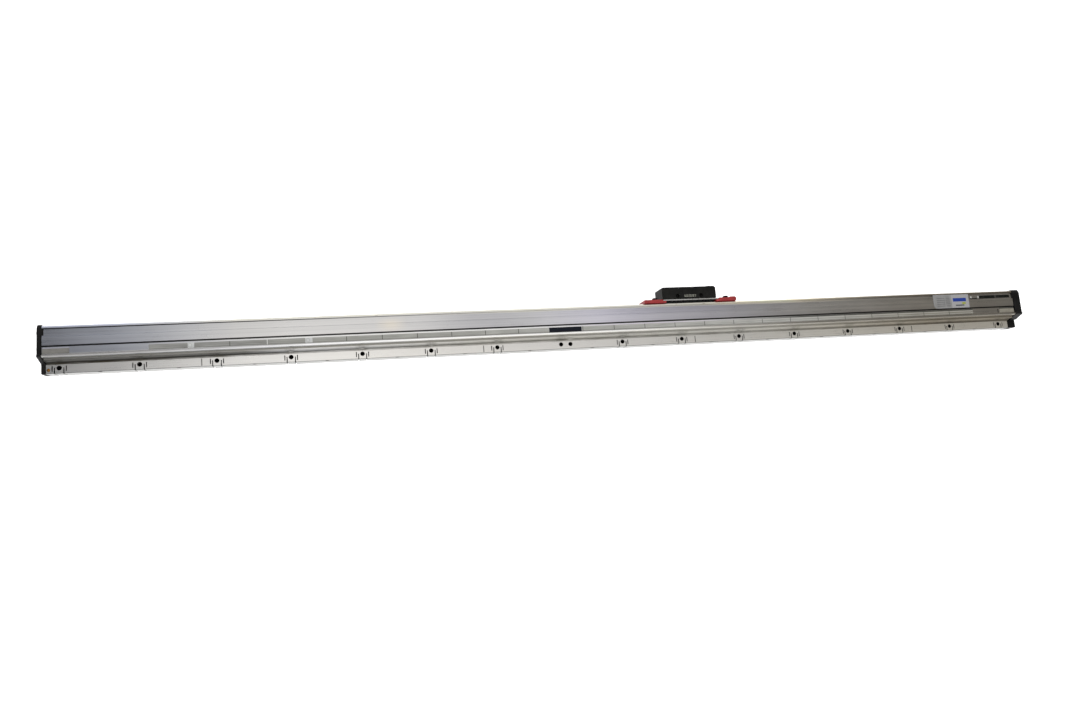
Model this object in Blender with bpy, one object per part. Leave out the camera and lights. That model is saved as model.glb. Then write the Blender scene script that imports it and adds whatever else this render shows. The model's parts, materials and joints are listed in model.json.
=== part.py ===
"""Sealed linear encoder: a long aluminium scale housing on a mounting foot, with a scanning head.

The rail lies on its back. X runs along the rail, Y runs up its profile from the foot to the
head, and Z points out of the front face. The origin is the fixed point of the mounting foot,
midway between the two centre holes, on the rear mounting face.

Dimensions are millimetres. Profile heights are counted from the foot's bottom edge, and
add_object turns them into metres about the origin.
"""

from math import cos, pi, radians, sin

import bmesh
import bpy
from mathutils import Matrix, Vector

MM = 0.001
HOLE_LINE = 7.7            # height of the mounting holes above the foot's bottom edge
GAP = 0.3                  # clearance between touching pieces

# Housing extrusion
HOUSING_START = -723.5
HOUSING_END = 816.0
HOUSING_TOP = 63.5
FOOT_TOP = 12.8
FOOT_DEPTH = 19.0
BAND_BOTTOM = 24.3         # lower front band, between the ridge and the lower groove
BAND_Z = 34.0
PANEL_Z = 34.9             # upper front panel
LOWER_GROOVE = (34.5, 36.2, 30.6)
UPPER_GROOVE = (58.2, 59.7, 31.8)
CAVITY_BOTTOM = 18.5
CAVITY_TOP = 57.3
CAVITY_REAR = 4.0
CAVITY_FRONT = 30.5
PORT_REAR = 9.0            # screw ports thicken the walls into the cavity
PORT_FRONT = 26.5
SLOT_CENTRE = 18.5         # depth of the blade's slot in the top face
SLOT_HALF = 6.0
LIP_GROOVE = (58.8, 60.5, 8.0)

# Mounting foot
FOOT_END = 812.0           # the right cap fills the corner beyond it
HOLE_PITCH = 100.0
HOLE_FIRST = -707.5
HOLE_COUNT = 16
FIXED_HOLES = (-7.5, 7.5)  # the rigid pair at the fixed point has no flexures
HOLE_RADIUS = 3.3
SLIT_WIDTH = 1.3
INNER_SLIT = (5.7, -1.0, 8.2)
OUTER_SLIT = (8.7, 3.2, 10.6)
RELIEF_RADIUS = 8.6
NOTCH_SIZE = (5.0, 0.9)
FOOT_MARKS = (-527.5, -128.5, 215.5, 616.5)
EARTH_PIN_X = -720.6
EARTH_PIN_HEIGHT = 5.3
EARTH_PIN_RADIUS = 2.0

# End caps
CAP_LEFT = (-729.3, -724.3)
CAP_RIGHT = (816.8, 830.5)
CAP_BOOT = (FOOT_END + 0.3, 827.5)   # the right cap's part beside the foot
GASKET_THICKNESS = 0.6
CAP_TOP = 65.0
CAP_SCREWS = ((32.1, 30.2), (54.0, 30.6), (22.5, 5.2), (54.0, 5.2))
AIR_PORT = (42.0, 17.0)

# Glass scale
GLASS_BOTTOM = 16.5
GLASS_TOP = 38.0
GLASS_REAR = 11.5
GLASS_FRONT = 14.5

# Scanning head, placed about HEAD_X
HEAD_X = 205.8
HEAD_HALF = 46.0
HEAD_BOTTOM = 69.3
HEAD_TOP = 88.5
HEAD_REAR = 6.0
HEAD_FRONT = 37.0
HEAD_HOLES = (-20.0, 20.0)
HEAD_HOLE_HEIGHT = 74.3
PLATE = (-44.6, 50.0, 67.2, 69.0, 5.5, 36.0)
CONNECTOR = (78.5, 22.0)   # height and depth of the socket's axis
CONNECTOR_DEPTH = 9.0
COVER_X = (30.0, 44.4)
COVER_SEAT = 1.3           # depth of the step that the cover sits in
COVER_MIDDLE = 37.0
COVER_SCREWS_Z = (12.0, 32.0)
PLATE_SCREWS_X = (-29.5, 29.5)
NECK = (-39.2, 45.0, 64.1, 66.9, 10.0, 28.0)
BLADE_HALF = 24.0
BLADE_THICKNESS = 2.0
BRACKET_BOTTOM = 63.8
BRACKET_TOP = 69.3
BRACKET_DEPTH = (9.0, 36.5)
BRACKET_REACH = {"left": 76.3, "right": 80.6}
BRACKET_SCREW_X = {"left": 56.5, "right": 65.0}
BRACKET_SCREW_Z = 29.5
BRACKET_SCREW_HEAD = (4.4, 3.2)
BOSS_X = (70.0, 79.4)      # raised block on the right bracket
BOSS_Z = (28.0, 36.1)
BOSS_HEIGHT = 1.3

# Scanning carriage inside the housing, placed about HEAD_X
LEG_HALF = 26.0
BRIDGE_HALF = 38.0
BRIDGE_BOTTOM = 45.0
BRIDGE_TOP = 49.0
FRONT_LEG = (16.2, 22.0)
REAR_LEG = (5.5, 9.5)
ROD_HEIGHT = 53.2
OPTIC_HEIGHT = 30.5
ROLLER_RADIUS = 3.0
ROLLER_BORE = 1.15
AXLE_RADIUS = 1.0
ROLLER_GAP = 0.05
FACE_AXIS = GLASS_FRONT + ROLLER_GAP + ROLLER_RADIUS
EDGE_AXIS = GLASS_TOP + ROLLER_GAP + ROLLER_RADIUS
FACE_ROLLERS = ((-32.0, 29.0), (32.0, 35.5), (32.0, 26.0))
FACE_ROLLER_WIDTH = 3.0
EDGE_ROLLERS = (-18.0, 18.0)
EDGE_ROLLER_DEPTH = (12.0, 14.0)

# Tape, labels and stickers on the front
LABEL_GAP = 0.05
LABEL_THICKNESS = 0.2
TAPE_BOTTOM = 25.0
TAPE_TOP = 33.8
TAPE_RUNS = ((-592.2, -542.5), (-534.0, -386.2), (-376.3, -28.4), (23.4, 731.3))
MARKER_STICKERS = ((-542.2, -534.3), (-385.9, -376.6))
POSITION_LABEL = (-28.1, 23.1)
END_STICKERS = {"left": (-723.2, -690.5), "right": (785.5, 815.7)}
RATING_LABEL = (654.5, 725.5, 36.5, 60.2)

# Colour, roughness and metallic value of each material
FINISHES = {
    "anodised": ((0.56, 0.57, 0.58), 0.38, 1.0),
    "cap_black": ((0.03, 0.03, 0.032), 0.45, 0.0),
    "head_black": ((0.025, 0.026, 0.028), 0.4, 0.0),
    "bracket_red": ((0.42, 0.02, 0.02), 0.4, 0.0),
    "steel": ((0.55, 0.55, 0.54), 0.3, 1.0),
    "black_steel": ((0.03, 0.03, 0.03), 0.35, 1.0),
    "brass": ((0.55, 0.33, 0.12), 0.35, 1.0),
    "rubber": ((0.03, 0.03, 0.03), 0.7, 0.0),
    "glass": ((0.6, 0.75, 0.75), 0.05, 0.0),
    "tape": ((0.45, 0.46, 0.44), 0.55, 0.0),
    "label_black": ((0.02, 0.02, 0.025), 0.5, 0.0),
    "label_white": ((0.75, 0.76, 0.74), 0.5, 0.0),
    "circuit": ((0.02, 0.18, 0.07), 0.5, 0.0),
}


def clear_scene():
    for item in list(bpy.data.objects):
        bpy.data.objects.remove(item, do_unlink=True)


def finish(name):
    """Return the named material, made on first use."""
    material = bpy.data.materials.get(name)
    if material is None:
        colour, roughness, metallic = FINISHES[name]
        material = bpy.data.materials.new(name)
        material.use_nodes = True
        shader = material.node_tree.nodes["Principled BSDF"]
        shader.inputs["Base Color"].default_value = (*colour, 1.0)
        shader.inputs["Roughness"].default_value = roughness
        shader.inputs["Metallic"].default_value = metallic
        material.diffuse_color = (*colour, 1.0)
    return material


def add_object(name, bm, finish_name=None, smooth=False):
    """Turn millimetres about the foot's edge into a mesh object in metres about the origin."""
    bmesh.ops.recalc_face_normals(bm, faces=bm.faces)
    bmesh.ops.translate(bm, verts=bm.verts, vec=(0.0, -HOLE_LINE, 0.0))
    bmesh.ops.scale(bm, verts=bm.verts, vec=(MM, MM, MM))
    mesh = bpy.data.meshes.new(name)
    bm.to_mesh(mesh)
    bm.free()
    if smooth:
        mesh.shade_smooth()
        mesh.set_sharp_from_angle(angle=radians(35))
    item = bpy.data.objects.new(name, mesh)
    bpy.context.collection.objects.link(item)
    if finish_name:
        mesh.materials.append(finish(finish_name))
    return item


def as_cutter(item):
    item.hide_render = True
    item.display_type = "WIRE"
    return item


def boolean(target, tool, operation="DIFFERENCE"):
    modifier = target.modifiers.new(operation.title(), "BOOLEAN")
    modifier.operation = operation
    modifier.solver = "EXACT"
    modifier.object = as_cutter(tool)


def place(axis, u, v, w):
    """Map a point (u, v) of an outline at distance w along the axis to x, height, z."""
    return {"X": (w, u, v), "Y": (u, w, v), "Z": (u, v, w)}[axis]


def prism_into(bm, axis, outline, start, end):
    """Add the outline, extruded along the axis from start to end."""
    rings = [[bm.verts.new(place(axis, u, v, w)) for u, v in outline] for w in (start, end)]
    bm.faces.new(rings[0])
    bm.faces.new(list(reversed(rings[1])))
    for i in range(len(outline)):
        j = (i + 1) % len(outline)
        bm.faces.new((rings[0][j], rings[0][i], rings[1][i], rings[1][j]))


def prism(name, axis, outline, start, end, finish_name=None, smooth=False):
    bm = bmesh.new()
    prism_into(bm, axis, outline, start, end)
    return add_object(name, bm, finish_name, smooth)


def box_into(bm, x, height, z):
    outline = ((x[0], height[0]), (x[1], height[0]), (x[1], height[1]), (x[0], height[1]))
    prism_into(bm, "Z", outline, z[0], z[1])


def box(name, x, height, z, finish_name=None):
    bm = bmesh.new()
    box_into(bm, x, height, z)
    return add_object(name, bm, finish_name)


def circle(u, v, radius, count=16):
    return [(u + radius * cos(2 * pi * i / count), v + radius * sin(2 * pi * i / count))
            for i in range(count)]


def rounded(u, v, radius, corners=(1, 1, 1, 1), steps=3):
    """A rectangle of the ranges u and v with the chosen corners rounded, from low u, low v."""
    centres = ((u[0], v[0], 1, 1, pi), (u[1], v[0], -1, 1, 1.5 * pi),
               (u[1], v[1], -1, -1, 0.0), (u[0], v[1], 1, -1, 0.5 * pi))
    outline = []
    for (cu, cv, du, dv, angle), wanted in zip(centres, corners):
        if not wanted:
            outline.append((cu, cv))
            continue
        for i in range(steps + 1):
            turn = angle + 0.5 * pi * i / steps
            outline.append((cu + du * radius + radius * cos(turn),
                            cv + dv * radius + radius * sin(turn)))
    return outline


def hexagon_scale(turn):
    """Distance to a unit hexagon's side, for a ring point at the angle turn."""
    return 1.0 / cos((turn + pi / 6) % (pi / 3) - pi / 6)


def turned_into(bm, axis, centre, profile, count=12, closed=False):
    """Add a turned shape: rings of (radius, distance, is_hexagon) about the axis through centre."""
    rings = []
    for radius, distance, hexagonal in profile:
        ring = []
        for i in range(count):
            turn = 2 * pi * i / count
            reach = radius * (hexagon_scale(turn) if hexagonal else 1.0)
            u = centre[0] + reach * cos(turn)
            v = centre[1] + reach * sin(turn)
            ring.append(bm.verts.new(place(axis, u, v, distance)))
        rings.append(ring)
    pairs = list(zip(rings, rings[1:]))
    if closed:
        pairs.append((rings[-1], rings[0]))
    else:
        bm.faces.new(rings[0])
        bm.faces.new(rings[-1])
    for one, two in pairs:
        for i in range(count):
            j = (i + 1) % count
            bm.faces.new((one[i], one[j], two[j], two[i]))


def turned(name, axis, centre, profile, finish_name=None, count=12, closed=False):
    bm = bmesh.new()
    turned_into(bm, axis, centre, profile, count, closed)
    return add_object(name, bm, finish_name, smooth=True)


def counterbore_into(bm, axis, centre, hole, seat, start, end):
    """Add a stepped bore: the radii hole[0] up to the seat and hole[1] beyond it."""
    profile = ((hole[0], start, False), (hole[0], seat, False), (hole[1], seat, False),
               (hole[1], end, False))
    turned_into(bm, axis, centre, profile, 12)


def screw(name, axis, centre, seat, direction, head, shank, finish_name, socket):
    """A socket screw. seat is the underside of its head, direction points out of the hole."""
    head_radius, head_height = head
    shank_radius, shank_length = shank
    edge = 0.2 * head_height
    steps = ((shank_radius, -shank_length, False), (shank_radius, 0.0, False),
             (head_radius, 0.0, False), (head_radius, head_height - edge, False),
             (head_radius - edge, head_height, False), (socket, head_height, True),
             (socket, 0.4 * head_height, True))
    profile = [(radius, seat + direction * step, flag) for radius, step, flag in steps]
    return turned(name, axis, centre, profile, finish_name)


def ring(name, axis, centre, outer, inner, start, end, finish_name, count=16):
    profile = ((outer, start, False), (outer, end, False), (inner, end, False), (inner, start, False))
    return turned(name, axis, centre, profile, finish_name, count, closed=True)


def foot_outline():
    """Section of the mounting foot, with its front corners broken."""
    front = FOOT_DEPTH
    return [(0.0, 0.0), (0.0, front - 0.5), (0.5, front), (FOOT_TOP - 0.3, front),
            (FOOT_TOP, front - 0.3), (FOOT_TOP, 0.0)]


def housing_outline():
    """Closed section above the foot: outside round, then down the slot and round the cavity."""
    low_a, low_b, low_z = LOWER_GROOVE
    up_a, up_b, up_z = UPPER_GROOVE
    nose = [(22.55 + 1.25 * cos(t), 35.75 + 1.25 * sin(t)) for t in
            (radians(a) for a in (180, 150, 120, 90, 60, 30, 0))]
    shoulder = [(60.7 + 2.8 * cos(t), 32.1 + 2.8 * sin(t)) for t in
                (radians(a) for a in (90, 67, 45, 22, 0))]
    base = FOOT_TOP + GAP
    front = [(base, 0.0), (base, 17.4), (14.5, 17.4), (16.7, 27.4), (17.0, 28.2),
             (18.3, 28.2), (18.7, 27.6), (20.0, 27.6), (20.3, 33.6)]
    front += nose
    front += [(BAND_BOTTOM, BAND_Z), (low_a, BAND_Z), (low_a, low_z), (low_b, low_z),
              (low_b, PANEL_Z), (48.2, PANEL_Z), (48.5, PANEL_Z - 0.3), (48.8, PANEL_Z),
              (up_a, PANEL_Z), (up_a, up_z), (up_b, up_z), (up_b, PANEL_Z)]
    slot_front = SLOT_CENTRE + SLOT_HALF
    slot_rear = SLOT_CENTRE - SLOT_HALF
    lip_a, lip_b, lip_half = LIP_GROOVE
    cavity = [(HOUSING_TOP, slot_front), (lip_b, slot_front), (lip_b, SLOT_CENTRE + lip_half),
              (lip_a, SLOT_CENTRE + lip_half), (lip_a, slot_front), (CAVITY_TOP, slot_front),
              (CAVITY_TOP, PORT_FRONT), (50.0, PORT_FRONT), (50.0, CAVITY_FRONT),
              (38.0, CAVITY_FRONT), (38.0, PORT_FRONT), (30.0, PORT_FRONT), (30.0, CAVITY_FRONT),
              (26.0, CAVITY_FRONT), (23.8, 26.0), (CAVITY_BOTTOM, GLASS_FRONT + 1.6),
              (CAVITY_BOTTOM, GLASS_FRONT + GAP), (GLASS_BOTTOM - GAP, GLASS_FRONT + GAP),
              (GLASS_BOTTOM - GAP, GLASS_REAR - GAP), (CAVITY_BOTTOM, GLASS_REAR - GAP),
              (CAVITY_BOTTOM, PORT_REAR), (26.0, PORT_REAR), (26.0, CAVITY_REAR),
              (50.0, CAVITY_REAR), (50.0, PORT_REAR), (CAVITY_TOP, PORT_REAR),
              (CAVITY_TOP, slot_rear), (lip_a, slot_rear), (lip_a, SLOT_CENTRE - lip_half),
              (lip_b, SLOT_CENTRE - lip_half), (lip_b, slot_rear), (HOUSING_TOP, slot_rear)]
    rear = [(HOUSING_TOP, 0.8), (HOUSING_TOP - 0.8, 0.0), (55.5, 0.0), (55.0, 0.5), (24.5, 0.5), (24.0, 0.0)]
    return front + shoulder + cavity + rear


def regular_holes():
    return [HOLE_FIRST + HOLE_PITCH * i for i in range(HOLE_COUNT)]


def foot_cutters():
    """Mounting holes, flexure slits, edge notches and marks, all separate, in one cutter."""
    bm = bmesh.new()
    front = FOOT_DEPTH + 1.0
    for x in sorted(set(regular_holes()) | set(FIXED_HOLES)):
        prism_into(bm, "Z", circle(x, HOLE_LINE, HOLE_RADIUS, 20), -1.0, front)
        if x in FIXED_HOLES:
            continue
        for reach, low, high in (INNER_SLIT, OUTER_SLIT):
            for side in (-1, 1):
                middle = x + side * reach
                sides = (middle - SLIT_WIDTH / 2, middle + SLIT_WIDTH / 2)
                box_into(bm, sides, (low, high), (-1.0, front))
    width, depth = NOTCH_SIZE
    for x in regular_holes()[:-1]:
        middle = x + HOLE_PITCH / 2
        box_into(bm, (middle - width / 2, middle + width / 2), (-1.0, depth), (FOOT_DEPTH - 2.5, front))
    for x in FOOT_MARKS:
        box_into(bm, (x - 0.45, x + 0.45), (1.4, FOOT_TOP - 1.2), (FOOT_DEPTH - 1.0, front))
    prism_into(bm, "Z", circle(EARTH_PIN_X, EARTH_PIN_HEIGHT, EARTH_PIN_RADIUS + GAP, 12), 12.0, front)
    return add_object("foot_cutters", bm)


def relief_cutters():
    """Milled clearance for the screw heads in the sloping wall above each hole."""
    bm = bmesh.new()
    for x in sorted(set(regular_holes()) | {FIXED_HOLES[1]}):
        if x == FIXED_HOLES[0]:
            continue
        prism_into(bm, "Z", circle(x, HOLE_LINE, RELIEF_RADIUS, 24), FOOT_DEPTH + 0.1, 27.0)
    return add_object("relief_cutters", bm)


def end_bores():
    """Blind bores for the cap screws in both ends of the extrusion."""
    bm = bmesh.new()
    for start, end in ((HOUSING_START - 1, HOUSING_START + 14), (HOUSING_END - 14, HOUSING_END + 1)):
        for height, z in CAP_SCREWS:
            prism_into(bm, "X", circle(height, z, 1.6, 12), start, end)
    return add_object("end_bores", bm)


def make_housing():
    foot = prism("mounting_foot", "X", foot_outline(), HOUSING_START, FOOT_END, "anodised")
    boolean(foot, foot_cutters())
    housing = prism("housing", "X", housing_outline(), HOUSING_START, HOUSING_END, "anodised")
    boolean(housing, relief_cutters())
    boolean(housing, end_bores())
    radius = EARTH_PIN_RADIUS
    pin = ((radius - 0.3, 12.4, False), (radius, 12.8, False), (radius, FOOT_DEPTH, False),
           (radius - 0.4, FOOT_DEPTH + 0.3, False))
    turned("earth_pin", "Z", (EARTH_PIN_X, EARTH_PIN_HEIGHT), pin, "brass")


def make_scale_and_lips():
    glass = ((HOUSING_START + 3, HOUSING_END - 3), (GLASS_BOTTOM, GLASS_TOP), (GLASS_REAR, GLASS_FRONT))
    box("glass_scale", *glass, "glass")
    tip = BLADE_THICKNESS / 2 + 0.15
    section = ((59.1, 7.7), (60.2, 7.7), (60.2, 5.7), (62.0, 5.7), (62.0, 4.2), (60.9, tip),
               (60.1, tip), (59.1, 3.9))
    for name, side in (("front", 1), ("rear", -1)):
        outline = [(height, SLOT_CENTRE + side * reach) for height, reach in section]
        prism("sealing_lip_" + name, "X", outline, HOUSING_START + 0.5, HOUSING_END - 0.5, "rubber")


def cap_outline():
    """The profile's outer shape without its grooves, standing proud at the top."""
    return [(0.0, 0.3), (0.0, 18.9), (0.4, 19.3), (FOOT_TOP, 19.3), (14.0, 20.4), (20.6, 35.6),
            (21.6, 36.9), (23.4, 37.0), (25.0, 35.9), (58.0, 35.9), (60.6, 35.4), (CAP_TOP - 1.0, 33.6),
            (CAP_TOP, 32.4), (CAP_TOP, 1.3), (CAP_TOP - 1.0, 0.3)]


def gasket_outline(bottom):
    return [(bottom, 1.0), (bottom, 18.0), (13.8, 18.3), (15.2, 18.6), (21.4, 33.4), (60.0, 33.4),
            (61.6, 31.8), (61.6, 1.0)]


def add_boot(cap):
    """Reach in beside the shorter foot, and set the foot's part back at the outer end."""
    start, end = CAP_BOOT
    outline = [(0.0, 0.3), (0.0, 18.9), (0.4, 19.3), (FOOT_TOP, 19.3), (FOOT_TOP, 0.3)]
    boolean(cap, prism("cap_boot", "X", outline, start, CAP_RIGHT[0] + 2.0), "UNION")
    boolean(cap, box("cap_set_back", (end, CAP_RIGHT[1] + 1), (-1.0, FOOT_TOP + 1.0), (-1.0, 21.0)))


def make_end(side, span, outward):
    """One end cap with its gasket, four screws and the plug of its air port."""
    inner, outer = (span[1], span[0]) if outward < 0 else span
    cap = prism("end_cap_" + side, "X", cap_outline(), span[0], span[1], "cap_black")
    reach = sorted((inner - outward * 3.0, inner + outward))
    tab = box("cap_tab_" + side, reach, (50.0, 59.0), (PANEL_Z + 0.15, 35.75))
    boolean(cap, tab, "UNION")
    if side == "right":
        add_boot(cap)
    bm = bmesh.new()
    seat = outer - outward * 1.6
    for centre in CAP_SCREWS:
        counterbore_into(bm, "X", centre, (1.6, 3.1), seat, inner - outward, outer + outward)
    prism_into(bm, "X", circle(*AIR_PORT, 2.8, 12), inner - outward, outer + outward)
    boolean(cap, add_object("cap_bores_" + side, bm))
    housing_face = HOUSING_START if outward < 0 else HOUSING_END
    near = housing_face + outward * 0.1
    gasket_bottom = 1.0 if outward < 0 else FOOT_TOP + 0.8
    gasket = prism("gasket_" + side, "X", gasket_outline(gasket_bottom),
                   *sorted((near, near + outward * GASKET_THICKNESS)), "rubber")
    bm = bmesh.new()
    for height, z in CAP_SCREWS:
        prism_into(bm, "X", circle(height, z, 1.7, 12), near - 2.0, near + 2.0)
    prism_into(bm, "X", circle(*AIR_PORT, 2.8, 12), near - 2.0, near + 2.0)
    boolean(gasket, add_object("gasket_bores_" + side, bm))
    shank = (1.3, abs(seat - housing_face) + 11.0)
    for number, centre in enumerate(CAP_SCREWS, 1):
        name = f"cap_screw_{side}_{number}"
        screw(name, "X", centre, seat + outward * 0.1, outward, (2.75, 3.0), shank, "steel", 1.25)
    screw("air_plug_" + side, "X", AIR_PORT, outer + outward * 0.2, outward, (3.6, 1.6),
          (2.4, abs(outer - inner) - 0.5), "steel", 1.5)


def label(name, x, height, base, finish_name):
    z = (base + LABEL_GAP, base + LABEL_GAP + LABEL_THICKNESS)
    box(name, x, height, z, finish_name)


def make_labels():
    for number, run in enumerate(TAPE_RUNS, 1):
        label(f"marker_tape_{number}", run, (TAPE_BOTTOM, TAPE_TOP), BAND_Z, "tape")
    for number, span in enumerate(MARKER_STICKERS, 1):
        label(f"marker_sticker_{number}", span, (TAPE_BOTTOM, TAPE_TOP), BAND_Z, "label_white")
    label("position_label", POSITION_LABEL, (TAPE_BOTTOM - 0.4, TAPE_TOP), BAND_Z, "label_black")
    for side, span in END_STICKERS.items():
        label("end_sticker_" + side, span, (TAPE_BOTTOM, TAPE_TOP), BAND_Z, "label_white")
    x_low, x_high, low, high = RATING_LABEL
    outline = rounded((x_low, x_high), (low, high), 6.0, (1, 0, 0, 0))
    z = PANEL_Z + LABEL_GAP
    prism("rating_label", "Z", outline, z, z + LABEL_THICKNESS, "label_white")


def at_head(*values):
    return tuple(HEAD_X + value for value in values)


def make_head_shell():
    outline = rounded(at_head(-HEAD_HALF, HEAD_HALF), (HEAD_BOTTOM, HEAD_TOP), 2.4, (0, 0, 1, 1))
    body = prism("head_body", "Z", outline, HEAD_REAR, HEAD_FRONT, "head_black", smooth=True)
    bevel = body.modifiers.new("Edges", "BEVEL")
    bevel.width = 0.8 * MM
    bevel.segments = 2
    bevel.limit_method = "ANGLE"
    bevel.angle_limit = radians(50)
    bm = bmesh.new()
    for x in at_head(*HEAD_HOLES):
        prism_into(bm, "Z", circle(x, HEAD_HOLE_HEIGHT, HOLE_RADIUS, 20), HEAD_REAR - 1, HEAD_FRONT + 1)
    socket_start = HEAD_X + HEAD_HALF - CONNECTOR_DEPTH
    prism_into(bm, "X", circle(*CONNECTOR, 6.5, 24), socket_start, HEAD_X + HEAD_HALF + 1)
    for x in at_head(*PLATE_SCREWS_X):
        prism_into(bm, "Y", circle(x, SLOT_CENTRE, 1.8, 12), HEAD_BOTTOM - 1, HEAD_BOTTOM + 8)
    boolean(body, add_object("head_bores", bm))
    seat = HEAD_TOP - COVER_SEAT
    step = at_head(COVER_X[0] - GAP, HEAD_HALF + 1)
    boolean(body, box("cover_step", step, (seat, HEAD_TOP + 1), (HEAD_REAR - 1, HEAD_FRONT + 1)))
    bm = bmesh.new()
    for z in COVER_SCREWS_Z:
        prism_into(bm, "Y", circle(HEAD_X + COVER_MIDDLE, z, 1.3, 12), seat - 5, HEAD_TOP + 1)
    boolean(body, add_object("cover_screw_bores", bm))
    make_connector(socket_start)
    make_cover()


def make_connector(socket_start):
    """A round socket set into the head's end face, with a keyed insulator and its contacts."""
    start = socket_start + 0.4
    end = HEAD_X + HEAD_HALF - 0.2
    shell = ((6.15, start, False), (6.15, end, False), (5.2, end, False), (5.2, start + 2, False))
    turned("connector_socket", "X", CONNECTOR, shell, "steel", 24)
    insulator = ((4.8, start + 2.3, False), (4.8, start + 3.8, False))
    turned("connector_insulator", "X", CONNECTOR, insulator, "cap_black", 16)


def make_cover():
    low = HEAD_TOP - COVER_SEAT + GAP
    outline = rounded(at_head(*COVER_X), (HEAD_REAR + 0.6, HEAD_FRONT - 0.6), 1.0)
    cover = prism("connector_cover", "Y", outline, low, low + 1.3, "head_black")
    bm = bmesh.new()
    for z in COVER_SCREWS_Z:
        prism_into(bm, "Y", circle(HEAD_X + COVER_MIDDLE, z, 1.3, 12), low - 1, low + 3)
    boolean(cover, add_object("cover_bores", bm))
    for number, z in enumerate(COVER_SCREWS_Z, 1):
        screw(f"cover_screw_{number}", "Y", (HEAD_X + COVER_MIDDLE, z), low + 1.4, 1, (1.9, 0.9),
              (1.0, 5.0), "black_steel", 0.8)


def make_plate_and_blade():
    x_low, x_high, low, high, rear, front = PLATE
    plate = box("head_base_plate", at_head(x_low, x_high), (low, high), (rear, front), "steel")
    n_low, n_high, neck_low, neck_high, neck_rear, neck_front = NECK
    neck = box("neck_block", at_head(n_low, n_high), (neck_low, neck_high), (neck_rear, neck_front),
               "black_steel")
    half = BLADE_THICKNESS / 2
    slot = box("blade_slot", at_head(-BLADE_HALF - GAP, BLADE_HALF + GAP), (neck_low - 1, neck_high + 1),
               (SLOT_CENTRE - half - GAP, SLOT_CENTRE + half + GAP))
    boolean(neck, slot)
    bm = bmesh.new()
    for x in at_head(*PLATE_SCREWS_X):
        counterbore_into(bm, "Y", (x, SLOT_CENTRE), (1.8, 3.1), neck_low + 1.6, high + 1, neck_low - 1)
    bores = add_object("plate_bores", bm)
    boolean(neck, bores)
    boolean(plate, bores)
    for number, x in enumerate(at_head(*PLATE_SCREWS_X), 1):
        screw(f"plate_screw_{number}", "Y", (x, SLOT_CENTRE), neck_low + 1.5, -1, (2.75, 1.4),
              (1.5, 9.0), "steel", 1.2)
    blade = ((-BLADE_HALF, 51.6), (-18.0, 51.6), (-17.0, 56.0), (BLADE_HALF, 56.0),
             (BLADE_HALF, neck_high - 0.1), (-BLADE_HALF, neck_high - 0.1))
    outline = [(HEAD_X + x, height) for x, height in blade]
    item = prism("blade", "Z", outline, SLOT_CENTRE - half, SLOT_CENTRE + half, "steel")
    boolean(item, prism("blade_bore", "X", circle(ROD_HEIGHT, SLOT_CENTRE, 0.75, 12),
                        *at_head(-BLADE_HALF - 1, -12.0)))


def make_bracket(side, direction):
    """A red shipping bracket: a block beside the base plate with a tongue under it."""
    reach = BRACKET_REACH[side]
    end = PLATE[1] if direction > 0 else -PLATE[0]
    neck_end = NECK[1] if direction > 0 else -NECK[0]
    plate_low = PLATE[2]
    points = ((reach, BRACKET_BOTTOM), (reach, BRACKET_TOP), (end + GAP, BRACKET_TOP),
              (end + GAP, plate_low - GAP), (neck_end + 2 * GAP, plate_low - GAP),
              (neck_end + 2 * GAP, BRACKET_BOTTOM))
    outline = [(HEAD_X + direction * x, height) for x, height in points]
    item = prism("shipping_bracket_" + side, "Z", outline, *BRACKET_DEPTH, "bracket_red")
    if side == "right":
        height = (BRACKET_TOP - 1.0, BRACKET_TOP + BOSS_HEIGHT)
        boolean(item, box("boss", at_head(*BOSS_X), height, BOSS_Z), "UNION")
    centre = (HEAD_X + direction * BRACKET_SCREW_X[side], BRACKET_SCREW_Z)
    boolean(item, prism("bore_" + side, "Y", circle(*centre, 2.6, 12), BRACKET_BOTTOM - 1, BRACKET_TOP + 3))
    screw("bracket_screw_" + side, "Y", centre, BRACKET_TOP + 0.2, 1, BRACKET_SCREW_HEAD, (2.2, 5.0),
          "black_steel", 1.8)


def make_carriage():
    """The scanning carriage that straddles the glass scale, with its optics and rollers."""
    frame = box("carriage_frame", at_head(-BRIDGE_HALF, BRIDGE_HALF), (BRIDGE_BOTTOM, BRIDGE_TOP),
                (REAR_LEG[0], 25.0), "anodised")
    legs = at_head(-LEG_HALF, LEG_HALF)
    boolean(frame, box("front_leg", legs, (24.0, BRIDGE_BOTTOM + 1), FRONT_LEG), "UNION")
    boolean(frame, box("rear_leg", legs, (27.0, BRIDGE_BOTTOM + 1), REAR_LEG), "UNION")
    boolean(frame, box("post", at_head(30.0, 36.0), (BRIDGE_TOP - 1, 55.2), (15.0, 22.0)), "UNION")
    bm = bmesh.new()
    prism_into(bm, "Z", circle(HEAD_X, OPTIC_HEIGHT, 6.0, 20), REAR_LEG[0] - 1, FRONT_LEG[1] + 1)
    for x in at_head(*EDGE_ROLLERS):
        prism_into(bm, "Z", circle(x, EDGE_AXIS, AXLE_RADIUS + 0.2, 12), REAR_LEG[0] + 1, FRONT_LEG[1] + 1)
    for x in at_head(FACE_ROLLERS[0][0], FACE_ROLLERS[1][0]):
        prism_into(bm, "Y", circle(x, FACE_AXIS, AXLE_RADIUS + 0.2, 12), BRIDGE_BOTTOM - 1, BRIDGE_TOP + 1)
    boolean(frame, add_object("carriage_bores", bm))
    boolean(frame, prism("post_bore", "X", circle(ROD_HEIGHT, SLOT_CENTRE, 1.1, 12), *at_head(29.0, 37.0)))
    rod = ((0.45, HEAD_X - 26.0, False), (0.45, HEAD_X + 38.0, False))
    turned("coupling_rod", "X", (ROD_HEIGHT, SLOT_CENTRE), rod, "steel")
    make_optics()
    make_rollers()


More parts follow.
